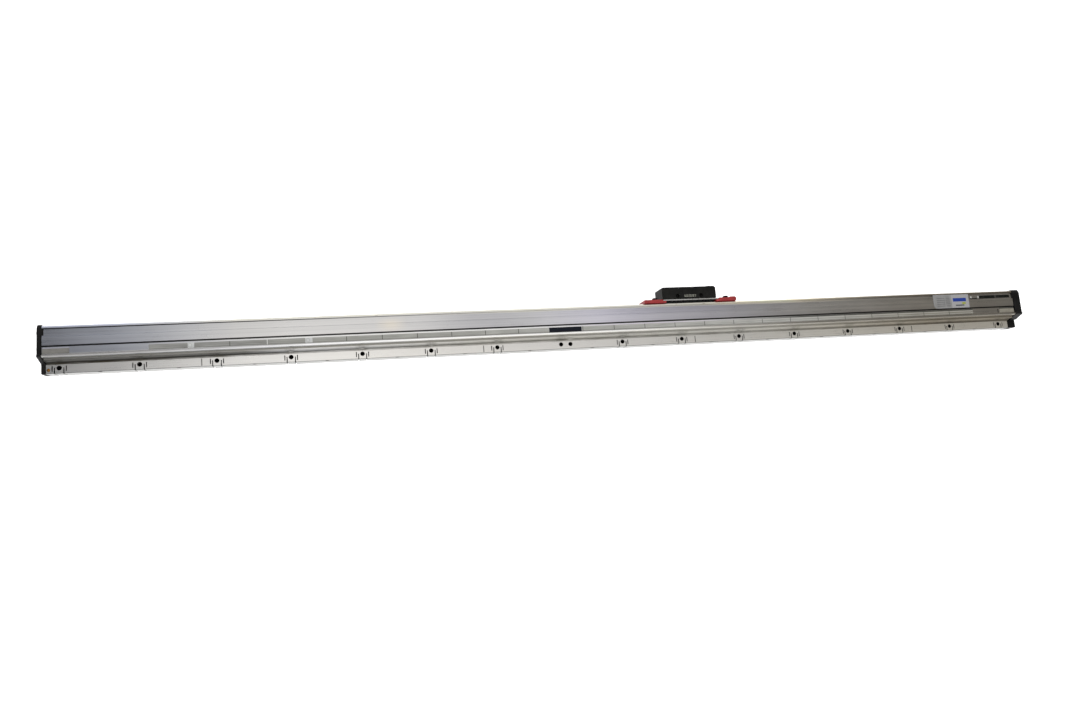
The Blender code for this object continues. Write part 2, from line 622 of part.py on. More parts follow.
def make_optics():
    centre = (HEAD_X, OPTIC_HEIGHT)
    lens = ((5.6, 17.0, False), (5.6, 18.0, False), (4.6, 18.8, False), (2.6, 19.3, False))
    turned("condenser_lens", "Z", centre, lens, "glass", 20)
    holder = ((5.6, 20.0, False), (5.6, 22.3, False), (7.0, 22.3, False), (7.0, 25.2, False),
              (2.0, 25.2, False), (2.0, 22.5, False))
    turned("lamp_holder", "Z", centre, holder, "cap_black", 20)
    box("scanning_reticle", at_head(-8.0, 8.0), (24.5, 36.5), (GLASS_FRONT + 0.3, 15.9), "glass")
    box("sensor_board", at_head(-18.0, 18.0), (27.5, 42.0), (4.2, 5.3), "circuit")


def make_rollers():
    for number, (x, height) in enumerate(FACE_ROLLERS, 1):
        ring(f"face_roller_{number}", "Y", (HEAD_X + x, FACE_AXIS), ROLLER_RADIUS, ROLLER_BORE,
             height, height + FACE_ROLLER_WIDTH, "steel")
    for number, x in enumerate(EDGE_ROLLERS, 1):
        ring(f"edge_roller_{number}", "Z", (HEAD_X + x, EDGE_AXIS), ROLLER_RADIUS, ROLLER_BORE,
             *EDGE_ROLLER_DEPTH, "steel")
        axle = ((AXLE_RADIUS, REAR_LEG[0] + 1.5, False), (AXLE_RADIUS, FRONT_LEG[1], False))
        turned(f"edge_axle_{number}", "Z", (HEAD_X + x, EDGE_AXIS), axle, "steel", 16)
    for number, low in ((1, FACE_ROLLERS[0][1] - 1), (2, FACE_ROLLERS[2][1] - 1)):
        x = FACE_ROLLERS[number - 1][0]
        axle = ((AXLE_RADIUS, low, False), (AXLE_RADIUS, BRIDGE_TOP - 0.2, False))
        turned(f"face_axle_{number}", "Y", (HEAD_X + x, FACE_AXIS), axle, "steel", 16)


def main():
    clear_scene()
    make_housing()
    make_scale_and_lips()
    make_end("left", CAP_LEFT, -1)
    make_end("right", CAP_RIGHT, 1)
    make_labels()
    make_head_shell()
    make_plate_and_blade()
    make_bracket("left", -1)
    make_bracket("right", 1)
    make_carriage()


main()
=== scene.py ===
"""Looks of the sealed linear encoder: finishes, finer pieces, labels, floor, light and camera.

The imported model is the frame. Every piece stands where its CAD node stands, in metres, with X
along the rail, Y up its profile and Z out of its front face, which faces the camera.
"""

import json
from math import cos, pi, radians, sin

import bmesh
import bpy
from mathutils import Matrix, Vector


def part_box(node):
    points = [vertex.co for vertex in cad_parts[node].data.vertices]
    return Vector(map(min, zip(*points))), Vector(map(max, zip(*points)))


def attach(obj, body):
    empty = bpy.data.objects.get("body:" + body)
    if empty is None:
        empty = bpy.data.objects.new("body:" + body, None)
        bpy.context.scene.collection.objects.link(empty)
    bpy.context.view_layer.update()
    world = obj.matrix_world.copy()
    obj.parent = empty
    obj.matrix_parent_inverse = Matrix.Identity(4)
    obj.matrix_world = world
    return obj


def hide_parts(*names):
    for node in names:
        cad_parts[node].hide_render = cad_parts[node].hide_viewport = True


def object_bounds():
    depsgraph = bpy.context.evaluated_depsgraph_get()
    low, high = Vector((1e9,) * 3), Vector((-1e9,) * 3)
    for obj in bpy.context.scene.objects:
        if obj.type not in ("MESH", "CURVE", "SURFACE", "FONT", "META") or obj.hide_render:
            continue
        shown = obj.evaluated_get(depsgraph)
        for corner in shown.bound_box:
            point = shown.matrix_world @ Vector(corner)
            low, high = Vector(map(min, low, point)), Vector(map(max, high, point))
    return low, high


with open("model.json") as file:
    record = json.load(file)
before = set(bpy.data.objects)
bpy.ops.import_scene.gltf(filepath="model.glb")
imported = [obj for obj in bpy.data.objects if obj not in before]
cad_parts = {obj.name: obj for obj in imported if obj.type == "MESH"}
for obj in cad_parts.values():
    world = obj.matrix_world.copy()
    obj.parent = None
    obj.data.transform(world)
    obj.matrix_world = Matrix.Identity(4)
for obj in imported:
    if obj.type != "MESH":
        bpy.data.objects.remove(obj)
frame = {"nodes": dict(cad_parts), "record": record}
cad_low, cad_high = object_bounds()

MM = 0.001
BODY_OF = {node: body for body, nodes in frame["record"]["behaviour"]["bodies"].items()
           for node in nodes}
SLOT_OF = {row["node"]: row["material_slot"] for row in frame["record"]["subparts"]}


# ---------------------------------------------------------------- materials

NOISE_ROUGHNESS = 0.55


class Finish:
    """A Principled material whose colour, roughness and bump come from nodes.

    Coordinates inside are object coordinates in millimetres.
    """

    def __init__(self, name, **values):
        self.material = bpy.data.materials.new(name)
        self.material.use_nodes = True
        self.tree = self.material.node_tree
        self.shader = self.tree.nodes["Principled BSDF"]
        for socket, value in values.items():
            self.shader.inputs[socket.replace("_", " ")].default_value = value
        place = self.add("ShaderNodeTexCoord").outputs["Object"]
        self.place = self.add("ShaderNodeVectorMath", {0: place, "Scale": 1.0 / MM},
                              operation="SCALE").outputs[0]
        split = self.add("ShaderNodeSeparateXYZ", {0: self.place})
        self.x, self.y, self.z = split.outputs

    def add(self, kind, inputs=None, **settings):
        node = self.tree.nodes.new(kind)
        for key, value in settings.items():
            setattr(node, key, value)
        for key, value in (inputs or {}).items():
            self.feed(node.inputs[key], value)
        return node

    def feed(self, socket, value):
        if isinstance(value, bpy.types.NodeSocket):
            self.tree.links.new(value, socket)
        else:
            socket.default_value = value

    def math(self, operation, one, two=0.0):
        return self.add("ShaderNodeMath", {0: one, 1: two}, operation=operation).outputs[0]

    def times(self, product, *factors):
        for factor in factors:
            product = self.math("MULTIPLY", product, factor)
        return product

    def spread(self, value, low, high, start=0.0, end=1.0, smooth=False):
        """Map value from low..high to start..end, clamped."""
        node = self.add("ShaderNodeMapRange", {0: value, 1: low, 2: high, 3: start, 4: end})
        node.interpolation_type = "SMOOTHSTEP" if smooth else "LINEAR"
        return node.outputs[0]

    def fade(self, value, low, high):
        """1 up to low, then down to 0 at high."""
        return self.spread(value, low, high, 1.0, 0.0)

    def within(self, value, low, high, edge=0.1):
        """1 between low and high, 0 outside, with soft edges twice as wide as edge."""
        rise = self.spread(value, low - edge, low + edge)
        return self.times(rise, self.fade(value, high - edge, high + edge))

    def along(self, low, high, edge=0.1):
        """1 between two places along the rail."""
        return self.within(self.x, low, high, edge)

    def up(self, low, high, edge=0.1):
        """1 between two heights of the section."""
        return self.within(self.y, low, high, edge)

    def patch(self, x, y, edge=0.1):
        """1 inside a rectangle of the front, given by its two ranges."""
        return self.times(self.along(*x, edge), self.up(*y, edge))

    def noise(self, stretch, detail=3.0, shift=0.0):
        """Noise whose features are about 1/stretch millimetres long along each axis."""
        scaled = self.add("ShaderNodeVectorMath", {0: self.place, 1: stretch},
                          operation="MULTIPLY").outputs[0]
        moved = self.add("ShaderNodeVectorMath", {0: scaled, 1: (shift, shift, shift)},
                         operation="ADD").outputs[0]
        node = self.add("ShaderNodeTexNoise", {"Vector": moved, "Scale": 1.0, "Detail": detail,
                                               "Roughness": NOISE_ROUGHNESS})
        return node.outputs[0]

    def mix(self, amount, one, two, blend="MIX"):
        """Go from colour one to colour two by an amount of 0 to 1."""
        node = self.add("ShaderNodeMix", data_type="RGBA", blend_type=blend)
        for socket, value in ((0, amount), (6, one), (7, two)):
            self.feed(node.inputs[socket], (*value, 1.0) if isinstance(value, tuple) else value)
        return node.outputs[2]

    def tinted(self, colour, amount, tint):
        """Multiply a colour by a tint, by an amount of 0 to 1."""
        return self.mix(amount, colour, tint, "MULTIPLY")

    def lifted(self, colour, amount, factors):
        """Multiply a colour by factors that may be above 1, by an amount of 0 to 1."""
        node = self.add("ShaderNodeVectorMath", {0: colour, 1: factors}, operation="MULTIPLY")
        return self.mix(amount, colour, node.outputs[0])

    def colour(self, value):
        self.feed(self.shader.inputs["Base Color"], value)

    def metallic(self, value):
        self.feed(self.shader.inputs["Metallic"], value)

    def rough(self, value):
        self.feed(self.shader.inputs["Roughness"], value)

    def bump(self, height, depth):
        """Bump from a height field of 0 to 1 that stands for depth millimetres."""
        node = self.add("ShaderNodeBump", {"Strength": 1.0, "Distance": depth * MM, "Height": height})
        self.tree.links.new(node.outputs[0], self.shader.inputs["Normal"])


# Heights on the section, in millimetres above the line through the foot's holes
FOOT_BASE = -7.68
FOOT_TOP = 5.1
CORNER = (FOOT_TOP - 0.5, 7.6)
SLOPE = (6.8, 10.4)
UNDER_RIDGE = (11.0, 12.7)
NOSE = (13.3, 16.7)
CREST = (13.9, 16.1)
CREST_SHADE = (16.3, 17.7)
RIDGE_END = (17.0, 18.0)
LOWER_LINE = (26.7, 28.6)
GLARE = (31.0, 46.0, 5.0)
PANEL_STEP = (40.4, 41.2)
PANEL_TOP = (48.4, 49.2)
UPPER_LINE = (50.4, 52.1)
STAINED = (52.5, 56.0)

# Inside the foot's holes and slits, by height and by distance out from the rear face
BORE_Y = (-7.3, 4.9)
BORE_Z = (1.0, 18.6)

# Distances out from the rear face: where the front wall starts, and the panel's face
FRONT_WALL = (29.0, 29.5)
PANEL_FACE = 34.9

# Places along the rail; the ends are given by where their painted reflection tints start and stop changing
COOL_END = (-640.0, -480.0)
DIM_END = (-720.0, -540.0)
BROWN_END = (300.0, 620.0)
HOLE_PITCH = 100.0
HOLE_PHASE = 7.5
FOOT_MARKS = (-527.5, -128.5, 215.5, 616.5)
FOOT_MARK_HALF = 0.55
FOOT_MARK_Y = (-6.1, 3.7)
DARK_TICK = ((782.2, 783.6), (17.4, 24.2))


def anodised(name, lines=1.0, dark=(0.50, 0.505, 0.515), light=(0.74, 0.74, 0.735)):
    """Natural anodised aluminium with die lines along X, blotches and fine grain."""
    look = Finish(name, Metallic=1.0)
    streaks = look.noise((0.004, 2.6, 2.6), 4.0)
    ribs = look.noise((0.0008, 0.34, 0.34), 2.0, shift=7.0)
    blotch = look.noise((0.02, 0.05, 0.05), 4.0, shift=3.0)
    grain = look.noise((2.5, 2.5, 2.5), 2.0, shift=11.0)
    tone = look.math("ADD", look.times(streaks, 0.42 * lines), look.times(ribs, 0.5 * lines))
    tone = look.math("ADD", tone, look.times(blotch, 0.25))
    colour = look.mix(look.spread(tone, 0.3, 0.95), dark, light)
    height = look.math("ADD", look.times(streaks, 0.8), look.times(grain, 0.25))
    uneven = look.math("ADD", streaks, look.times(blotch, 0.6))
    look.rough(look.spread(uneven, 0.4, 1.2, 0.24, 0.36))
    return look, colour, height


def plain_anodised():
    look, colour, height = anodised("anodised", 0.6, (0.56, 0.565, 0.575), (0.8, 0.8, 0.79))
    look.colour(colour)
    look.bump(height, 0.008)
    return look.material


# Stretches along the rail with painted reflections, highlights and shade: both ends and the softness of the
# change
GLARE_STRETCH = (-275.0, -255.0, 14.0)
DARK_REFLECTION_STRETCH = (-190.0, -70.0, 40.0)
PALE_STRETCH = (0.0, 100.0, 60.0)
LILAC_STRETCH = (20.0, 330.0, 90.0)
SHADE_STRETCH = (-480.0, 200.0, 60.0)
CREST_STRETCH = (-420.0, 160.0, 90.0)
LIT_STRETCH = (-160.0, 370.0, 80.0)
BEIGE_STRETCH = (300.0, 450.0, 80.0)

# Changes along the rail: where each starts and where it is complete
WARMER = (-420.0, -100.0)
RIDGE_REFLECTION_DIMMER = (350.0, 650.0)
RIDGE_LESS_METAL = (0.0, 500.0)
NOSE_DARKER_LEFT_END = (-640.0, -420.0)
NOSE_DARKER_RIGHT_START = (130.0, 420.0)
UPPER_LINE_END = (-560.0, -120.0)
UNDER_RIDGE_SHADE_WEAKER = (-300.0, 100.0)
SLOPE_DARK_END = (-470.0, -400.0)
CORNER_SHADE_WEAKER = (-640.0, -380.0)

# Reach of the darkening round a hole, width of the lower groove's lips with painted shade, depth of both
# grooves' painted shade
HOLE_DARKENING_REACH = (4.0, 12.0)
LIP = 0.2
GROOVE_SHADE = (PANEL_FACE - 1.6, PANEL_FACE - 1.0)


def reflections(look, colour, ridge):
    """Painted reflections along the shoulder, band and panel: dim and cool, a warm glare, lilac, then brown.
    """
    panel = look.math("SUBTRACT", 1.0, ridge)
    cool = look.fade(look.x, *COOL_END)
    brown = look.spread(look.x, *BROWN_END)
    # painted reflection on the shoulder: pale, turning brown to the right
    shoulder = look.mix(cool, (0.72, 0.71, 0.64), (0.72, 0.72, 0.73))
    shoulder = look.mix(brown, shoulder, (0.24, 0.225, 0.195))
    colour = look.mix(look.spread(look.y, UPPER_LINE[1], UPPER_LINE[1] + 0.3), colour, shoulder)
    # painted dim, cool reflection towards the left end
    colour = look.tinted(colour, look.times(cool, panel), (0.91, 0.95, 1.06))
    colour = look.tinted(colour, look.times(panel, look.fade(look.x, *DIM_END)), (0.78, 0.78, 0.79))
    # painted lilac reflection over the panel, darker above its step
    over_groove = look.spread(look.y, LOWER_LINE[1], LOWER_LINE[1] + 0.4)
    lilac = look.times(over_groove, look.along(*LILAC_STRETCH))
    colour = look.tinted(colour, lilac, (0.96, 0.95, 1.03))
    # painted highlight on the panel
    colour = look.lifted(colour, look.times(panel, look.along(*PALE_STRETCH)), (1.21, 1.20, 1.24))
    # painted dark reflection between two painted highlights
    colour = look.tinted(colour, look.times(panel, look.along(*DARK_REFLECTION_STRETCH)), (0.84, 0.84, 0.86))
    # painted warm glare on the panel
    glare = look.times(look.up(*GLARE), look.along(*GLARE_STRETCH), 0.8)
    colour = look.lifted(colour, glare, (1.25, 1.16, 1.0))
    colour = look.tinted(colour, look.times(lilac, look.spread(look.y, *PANEL_STEP)), (0.88, 0.88, 0.90))
    return look.tinted(colour, brown, (1.0, 0.95, 0.87))


def ridge_colour(look, colour, ridge):
    """The ridge below the band, with painted reflections warmer and dimmer to the right, its nose painted
    dark at both ends in place of a reflection, painted shade above the crest and a painted highlight on it.
    """
    # painted reflection on the ridge: warmer, then dimmer to the right
    colour = look.tinted(colour, look.times(ridge, look.spread(look.x, *WARMER)), (1.0, 0.98, 0.91))
    colour = look.tinted(colour, look.times(ridge, look.spread(look.x, *RIDGE_REFLECTION_DIMMER)), (0.52, 0.50, 0.47))
    # nose painted dark at both ends, where its reflection is missing
    dark_nose_left = look.spread(look.x, *NOSE_DARKER_LEFT_END, 0.62, 0.0)
    dark_nose_right = look.spread(look.x, *NOSE_DARKER_RIGHT_START, 0.0, 0.95)
    dark_nose = look.times(look.up(*NOSE, 0.3), look.math("MAXIMUM", dark_nose_left, dark_nose_right))
    colour = look.mix(dark_nose, colour, (0.15, 0.14, 0.12))
    # painted shade above the crest
    shade = look.times(look.up(*CREST_SHADE, 0.2), look.along(*SHADE_STRETCH), 0.7)
    colour = look.mix(shade, colour, (0.22, 0.22, 0.21))
    # painted highlight on the crest
    crest = look.times(look.up(*CREST, 0.3), look.along(*CREST_STRETCH), 0.8)
    return look.mix(crest, colour, (0.97, 0.97, 0.96))


def groove_colour(look, colour):
    """Painted shade in the grooves of the front wall and on the lower groove's lips, and above the panel a
    painted highlight that turns beige.
    """
    front = look.spread(look.z, *FRONT_WALL)
    upper = look.times(look.up(*UPPER_LINE), look.fade(look.x, *UPPER_LINE_END))
    grooves = look.math("ADD", look.up(*LOWER_LINE), upper)
    sunk = look.fade(look.z, *GROOVE_SHADE)
    lips = look.times(look.up(LOWER_LINE[0] - LIP, LOWER_LINE[1] + LIP, 0.15), 0.8)
    # painted shade inside both grooves and on the lower groove's lips
    inside = look.math("MAXIMUM", look.times(grooves, sunk, front), look.times(lips, front))
    colour = look.mix(look.times(inside, 0.93), colour, (0.02, 0.02, 0.018))
    above_panel = look.spread(look.y, UPPER_LINE[0] - 0.8, UPPER_LINE[0])
    # painted highlight above the panel, then a beige one
    lit = look.times(above_panel, look.along(*LIT_STRETCH), 0.8)
    colour = look.mix(lit, colour, (0.80, 0.79, 0.71))
    beige = look.times(look.spread(look.y, *PANEL_TOP), look.along(*BEIGE_STRETCH))
    return look.lifted(colour, beige, (1.65, 1.58, 1.42))


def housing_shade_and_stains(look, colour):
    """Darker patches round the holes, painted shade under the ridge and in the corner above the foot, the
    slope darker towards the left end, a dark tick, brown stains and scuffs.
    """
    # darker, broken patches round each hole
    from_hole = look.math("PINGPONG", look.math("ADD", look.x, HOLE_PHASE), HOLE_PITCH / 2)
    near_hole = look.spread(from_hole, *HOLE_DARKENING_REACH, 1.0, 0.0, smooth=True)
    broken = look.spread(look.noise((0.5, 0.5, 0.5)), 0.3, 0.6)
    hole_darkening = look.times(near_hole, look.up(FOOT_TOP, UNDER_RIDGE[0], 1.2), broken, 0.4)
    colour = look.mix(hole_darkening, colour, (0.12, 0.11, 0.09))
    # painted shade under the ridge, weaker to the right
    under = look.times(look.up(*UNDER_RIDGE, 0.4), look.spread(look.x, *UNDER_RIDGE_SHADE_WEAKER, 0.62, 0.35))
    colour = look.mix(under, colour, (0.20, 0.19, 0.145))
    # the slope darker towards the left end
    slope = look.times(look.up(*SLOPE, 0.6), look.spread(look.x, *SLOPE_DARK_END, 0.85, 0.0))
    colour = look.mix(slope, colour, (0.075, 0.07, 0.055))
    # painted shade in the corner above the foot, broken up by patchy noise, weaker to the right
    patchy = look.spread(look.noise((0.03, 0.3, 0.3), 4.0, shift=5.0), 0.35, 0.62, 0.6, 1.0)
    corner_shade_weaker = look.spread(look.x, *CORNER_SHADE_WEAKER, 0.0, 0.58)
    corner = look.times(look.up(*CORNER, 0.6), look.math("SUBTRACT", patchy, corner_shade_weaker))
    colour = look.mix(corner, colour, (0.085, 0.075, 0.05))
    tick = look.times(look.patch(*DARK_TICK, 0.2), 0.9)
    colour = look.mix(tick, colour, (0.03, 0.028, 0.022))
    stain = look.spread(look.noise((0.1, 0.35, 0.35), 2.0, shift=21.0), 0.68, 0.74)
    colour = look.mix(look.times(stain, look.up(*STAINED, 0.3), 0.75), colour, (0.2, 0.14, 0.06))
    scuff = look.spread(look.noise((0.35, 0.5, 0.5), 4.0, shift=31.0), 0.72, 0.76)
    return look.mix(look.times(scuff, 0.35), colour, (0.3, 0.28, 0.25))


def housing_finish():
    """The anodised extrusion with painted reflections, highlights and shade, less metallic on its ridge
    towards the right.
    """
    look, colour, height = anodised("housing_anodised")
    ridge = look.fade(look.y, *RIDGE_END)
    colour = reflections(look, colour, ridge)
    colour = ridge_colour(look, colour, ridge)
    colour = groove_colour(look, colour)
    look.colour(housing_shade_and_stains(look, colour))
    dull = look.times(ridge, look.spread(look.x, *RIDGE_LESS_METAL, 0.15, 0.55))
    look.metallic(look.math("SUBTRACT", 1.0, dull))
    look.bump(height, 0.012)
    return look.material


# Soiled edges of the foot and its bottom edge darkened as painted shade, by height, and where it turns less
# metallic
SOILED_TOP = (3.2, 4.9)
SOILED_BOTTOM = (-7.5, -6.2)
DARK_BOTTOM = (-6.9, -6.5)
FOOT_LESS_METAL = (0.0, 450.0)


def foot_finish():
    """The brighter foot: soiled along its edges, with painted shade inside holes, slits and four marking
    slots and along its bottom edge, and painted reflection tints warmer and browner to the right.
    """
    look, colour, height = anodised("foot_anodised", 0.5, (0.72, 0.72, 0.715), (0.93, 0.93, 0.92))
    # painted shade inside the holes and slits
    bore = look.times(look.within(look.z, *BORE_Z, 0.25), look.up(*BORE_Y, 0.05), 0.97)
    colour = look.mix(bore, colour, (0.012, 0.012, 0.011))
    soil = look.spread(look.noise((0.06, 0.5, 0.5), 4.0, shift=8.0), 0.52, 0.75, 0.0, 0.5)
    edge = look.math("ADD", look.spread(look.y, *SOILED_TOP), look.fade(look.y, *SOILED_BOTTOM))
    colour = look.mix(look.times(soil, edge), colour, (0.16, 0.15, 0.13))
    speck = look.spread(look.noise((0.8, 0.9, 0.9), 3.0, shift=17.0), 0.7, 0.75, 0.0, 0.4)
    colour = look.mix(speck, colour, (0.25, 0.24, 0.21))
    # painted shade in the four marking slots
    for mark in FOOT_MARKS:
        ink_and_slot_shade = look.patch((mark - FOOT_MARK_HALF, mark + FOOT_MARK_HALF), FOOT_MARK_Y, 0.2)
        colour = look.mix(look.times(ink_and_slot_shade, 0.9), colour, (0.03, 0.03, 0.028))
    # painted reflection tints, warmer and browner to the right
    colour = look.tinted(colour, look.spread(look.x, *WARMER), (1.0, 0.985, 0.94))
    colour = look.tinted(colour, look.spread(look.x, *BROWN_END), (0.97, 0.94, 0.88))
    # painted shade along the bottom edge and at the base
    colour = look.mix(look.spread(look.y, *DARK_BOTTOM, 0.7, 0.0), colour, (0.14, 0.14, 0.13))
    colour = look.mix(look.fade(look.y, FOOT_BASE, FOOT_BASE + 0.08), colour, (0.3, 0.3, 0.29))
    look.colour(colour)
    look.metallic(look.spread(look.x, *FOOT_LESS_METAL, 1.0, 0.6))
    look.bump(height, 0.012)
    return look.material


def metal(name, dark, light, roughness, lines=(0.05, 1.5, 1.5)):
    """Machined or drawn metal with fine lines and a few duller spots."""
    look = Finish(name, Metallic=1.0)
    streaks = look.noise(lines, 3.0)
    spots = look.noise((0.25, 0.25, 0.25), 4.0, shift=4.0)
    look.colour(look.mix(look.spread(look.math("ADD", streaks, spots), 0.7, 1.3), dark, light))
    look.rough(look.spread(spots, 0.3, 0.7, roughness - 0.07, roughness + 0.1))
    look.bump(streaks, 0.006)
    return look.material


# Specular level of the surfaces that mirror less than the usual moulding or paper
SHEEN = {"cap_black": 0.14, "head_black": 0.07, "label_black": 0.1, "printed_strip": 0.1}
MOULDED_SHEEN = 0.5
PAPER_SHEEN = 0.4


def moulded_base(name, dark, light, roughness, grain=1.6, depth=0.02):
    """Moulded or painted surface: fine grain, a few lighter rubs and dust."""
    look = Finish(name)
    fine = look.noise((grain, grain, grain), 2.0)
    cloud = look.noise((0.07, 0.07, 0.07), 4.0, shift=2.0)
    dust = look.spread(look.noise((0.8, 0.8, 0.8), 3.0, shift=9.0), 0.62, 0.72, 0.0, 0.5)
    colour = look.mix(look.spread(cloud, 0.35, 0.7), dark, light)
    colour = look.mix(look.times(dust, cloud), colour, tuple(part + 0.05 for part in light))
    look.rough(look.spread(cloud, 0.3, 0.7, roughness, roughness + 0.15))
    look.bump(fine, depth)
    look.shader.inputs["Specular IOR Level"].default_value = SHEEN.get(name, MOULDED_SHEEN)
    return look, colour


def moulded(name, dark, light, roughness, grain=1.6, depth=0.02):
    look, colour = moulded_base(name, dark, light, roughness, grain, depth)
    look.colour(colour)
    return look.material


HEAD_FACE = (36.6, 36.8)
HEAD_PRINT_X = (197.2, 216.8)
HEAD_PRINT_Y = (64.2, 68.2)
HEAD_PRINT_ROWS = 2


def head_finish():
    """Satin black paint with a small pale print of plain bars on the front face."""
    dark, light = (0.008, 0.008, 0.0075), (0.016, 0.0155, 0.0145)
    look, colour = moulded_base("head_black", dark, light, 0.4, 2.2, 0.015)
    low, high = HEAD_PRINT_Y
    row = look.math("PINGPONG", look.math("SUBTRACT", look.y, low), (high - low) / HEAD_PRINT_ROWS / 2)
    words = look.spread(look.noise((0.55, 0.001, 0.001), 1.0, shift=13.0), 0.47, 0.5)
    bars = look.times(look.spread(row, 0.35, 0.45), words)
    area = look.times(look.patch(HEAD_PRINT_X, HEAD_PRINT_Y), look.spread(look.z, *HEAD_FACE))
    look.colour(look.mix(look.times(bars, area, 0.7), colour, (0.42, 0.42, 0.36)))
    return look.material


def glass(name, tint, lines=0.0):
    """Clear glass; with lines, a fine grating along X."""
    look = Finish(name, Roughness=0.05, Transmission_Weight=0.85, IOR=1.5)
    cloud = look.spread(look.noise((0.1, 0.1, 0.1)), 0.3, 0.7)
    colour = look.mix(cloud, tint, tuple(part * 0.93 for part in tint))
    if lines:
        wave = look.math("PINGPONG", look.x, lines)
        colour = look.mix(look.spread(wave, lines * 0.4, lines * 0.6), colour, (0.35, 0.33, 0.25))
    look.colour(colour)
    return look.material


# The tape's middle height, the height where the metal above it starts, and its joints: a regular
# row of them to the right of one place, with a dark and a pale one further left
TAPE_MIDDLE = 21.0
STRIP_EDGE = (24.1, 24.5)
TAPE_PITCH = 50.6
TAPE_PHASE = -75.9
TAPE_REGULAR = -380.0
TAPE_DARK_JOINT = -487.6
TAPE_PALE_JOINT = -437.8

# Changes along the rail in the painted reflection of the bare metal above the labels, and in the tape
STRIP_BRIGHTER = (-640.0, -400.0)
STRIP_LILAC = (20.0, 250.0, 90.0)
STRIP_DARKER = (200.0, 400.0)
TAPE_LIGHTER = (-480.0, -360.0)
TAPE_PALE = (-300.0, 60.0)
TAPE_BROWN = (330.0, 640.0)
STRIPE_STRONGER = (200.0, 380.0)


def bare_strip(look, colour):
    """The bare metal above a label that is lower than its piece, painted with a reflection: dim on the left,
    bright and lilac in the middle, dark on the right.
    """
    # painted reflection of the bare metal, changing along the rail
    bright = look.mix(look.spread(look.x, *STRIP_BRIGHTER), (0.26, 0.265, 0.30), (0.70, 0.70, 0.68))
    bright = look.mix(look.along(*STRIP_LILAC), bright, (0.53, 0.50, 0.55))
    bright = look.mix(look.spread(look.x, *STRIP_DARKER), bright, (0.05, 0.05, 0.044))
    return look.mix(look.spread(look.y, *STRIP_EDGE), colour, bright)


def off_middle(look):
    """How far a point is above or below the tape's middle."""
    return look.math("ABSOLUTE", look.math("SUBTRACT", look.y, TAPE_MIDDLE))


def tape_joints(look, colour):
    """Dark gaps where two lengths of tape meet, and one pale gap."""
    from_joint = look.math("PINGPONG", look.math("ADD", look.x, TAPE_PHASE), TAPE_PITCH / 2)
    regular = look.spread(look.x, TAPE_REGULAR, TAPE_REGULAR + 1)
    dark = look.times(look.spread(from_joint, 0.35, 0.65, 0.9, 0.0), regular)
    dark = look.math("ADD", dark, look.along(TAPE_DARK_JOINT - 0.4, TAPE_DARK_JOINT + 0.4))
    colour = look.mix(dark, colour, (0.04, 0.04, 0.035))
    pale = look.along(TAPE_PALE_JOINT - 0.35, TAPE_PALE_JOINT + 0.35)
    return look.mix(pale, colour, (0.75, 0.75, 0.73))


def tape_finish():
    """Matt grey tape with fine printed lines along it, darker at both ends of the rail."""
    look = Finish("tape", Roughness=0.6)
    fibre = look.noise((0.03, 1.4, 1.0), 4.0)
    cloud = look.noise((0.03, 0.15, 0.15), 3.0, shift=6.0)
    tone = look.spread(look.math("ADD", fibre, cloud), 0.75, 1.25)
    darkest = look.mix(tone, (0.17, 0.17, 0.16), (0.27, 0.27, 0.255))
    dark = look.mix(tone, (0.23, 0.23, 0.21), (0.33, 0.33, 0.305))
    pale = look.mix(tone, (0.29, 0.29, 0.27), (0.40, 0.40, 0.375))
    brown = look.mix(tone, (0.19, 0.18, 0.15), (0.265, 0.25, 0.21))
    colour = look.mix(look.spread(look.x, *TAPE_LIGHTER), darkest, dark)
    colour = look.mix(look.spread(look.x, *TAPE_PALE, smooth=True), colour, pale)
    colour = look.mix(look.spread(look.x, *TAPE_BROWN, smooth=True), colour, brown)
    off = off_middle(look)
    stripe = look.times(look.within(off, 1.3, 2.1, 0.25), look.spread(look.x, *STRIPE_STRONGER, 0.08, 0.5))
    colour = look.mix(stripe, colour, (0.62, 0.62, 0.58))
    rule = look.times(look.within(off, 3.1, 3.4, 0.15), 0.4)
    colour = look.mix(rule, colour, (0.1, 0.1, 0.09))
    look.colour(bare_strip(look, tape_joints(look, colour)))
    look.bump(fibre, 0.01)
    return look.material


def paper_base(name, dark, light, roughness=0.5):
    look = Finish(name)
    cloud = look.noise((0.09, 0.09, 0.09), 4.0)
    fine = look.noise((1.2, 1.2, 1.2), 2.0, shift=3.0)
    tone = look.spread(look.math("ADD", cloud, look.times(fine, 0.4)), 0.5, 0.95)
    look.rough(look.spread(cloud, 0.3, 0.7, roughness, roughness + 0.12))
    look.bump(fine, 0.008)
    look.shader.inputs["Specular IOR Level"].default_value = SHEEN.get(name, PAPER_SHEEN)
    return look, look.mix(tone, dark, light)


def paper(name, dark, light, roughness=0.5):
    look, colour = paper_base(name, dark, light, roughness)
    look.colour(bare_strip(look, colour))
    return look.material


def marker_finish(name, centre):
    """Pale sticker with a faint ring printed round its middle."""
    look, colour = paper_base(name, (0.45, 0.46, 0.455), (0.58, 0.59, 0.58))
    aside = look.math("SUBTRACT", look.x, centre)
    above = look.math("SUBTRACT", look.y, TAPE_MIDDLE)
    radius = look.math("SQRT", look.math("ADD", look.times(aside, aside), look.times(above, above)))
    ring = look.times(look.within(radius, 2.2, 2.9, 0.2), 0.5)
    look.colour(bare_strip(look, look.mix(ring, colour, (0.2, 0.2, 0.18))))
    return look.material


def striped_sticker():
    """The pale end sticker, with two fine lines along it."""
    look, colour = paper_base("striped_sticker", (0.22, 0.205, 0.165), (0.30, 0.28, 0.23))
    line = look.times(look.within(off_middle(look), 1.4, 1.9, 0.2), 0.5)
    look.colour(bare_strip(look, look.mix(line, colour, (0.28, 0.27, 0.24))))
    return look.material


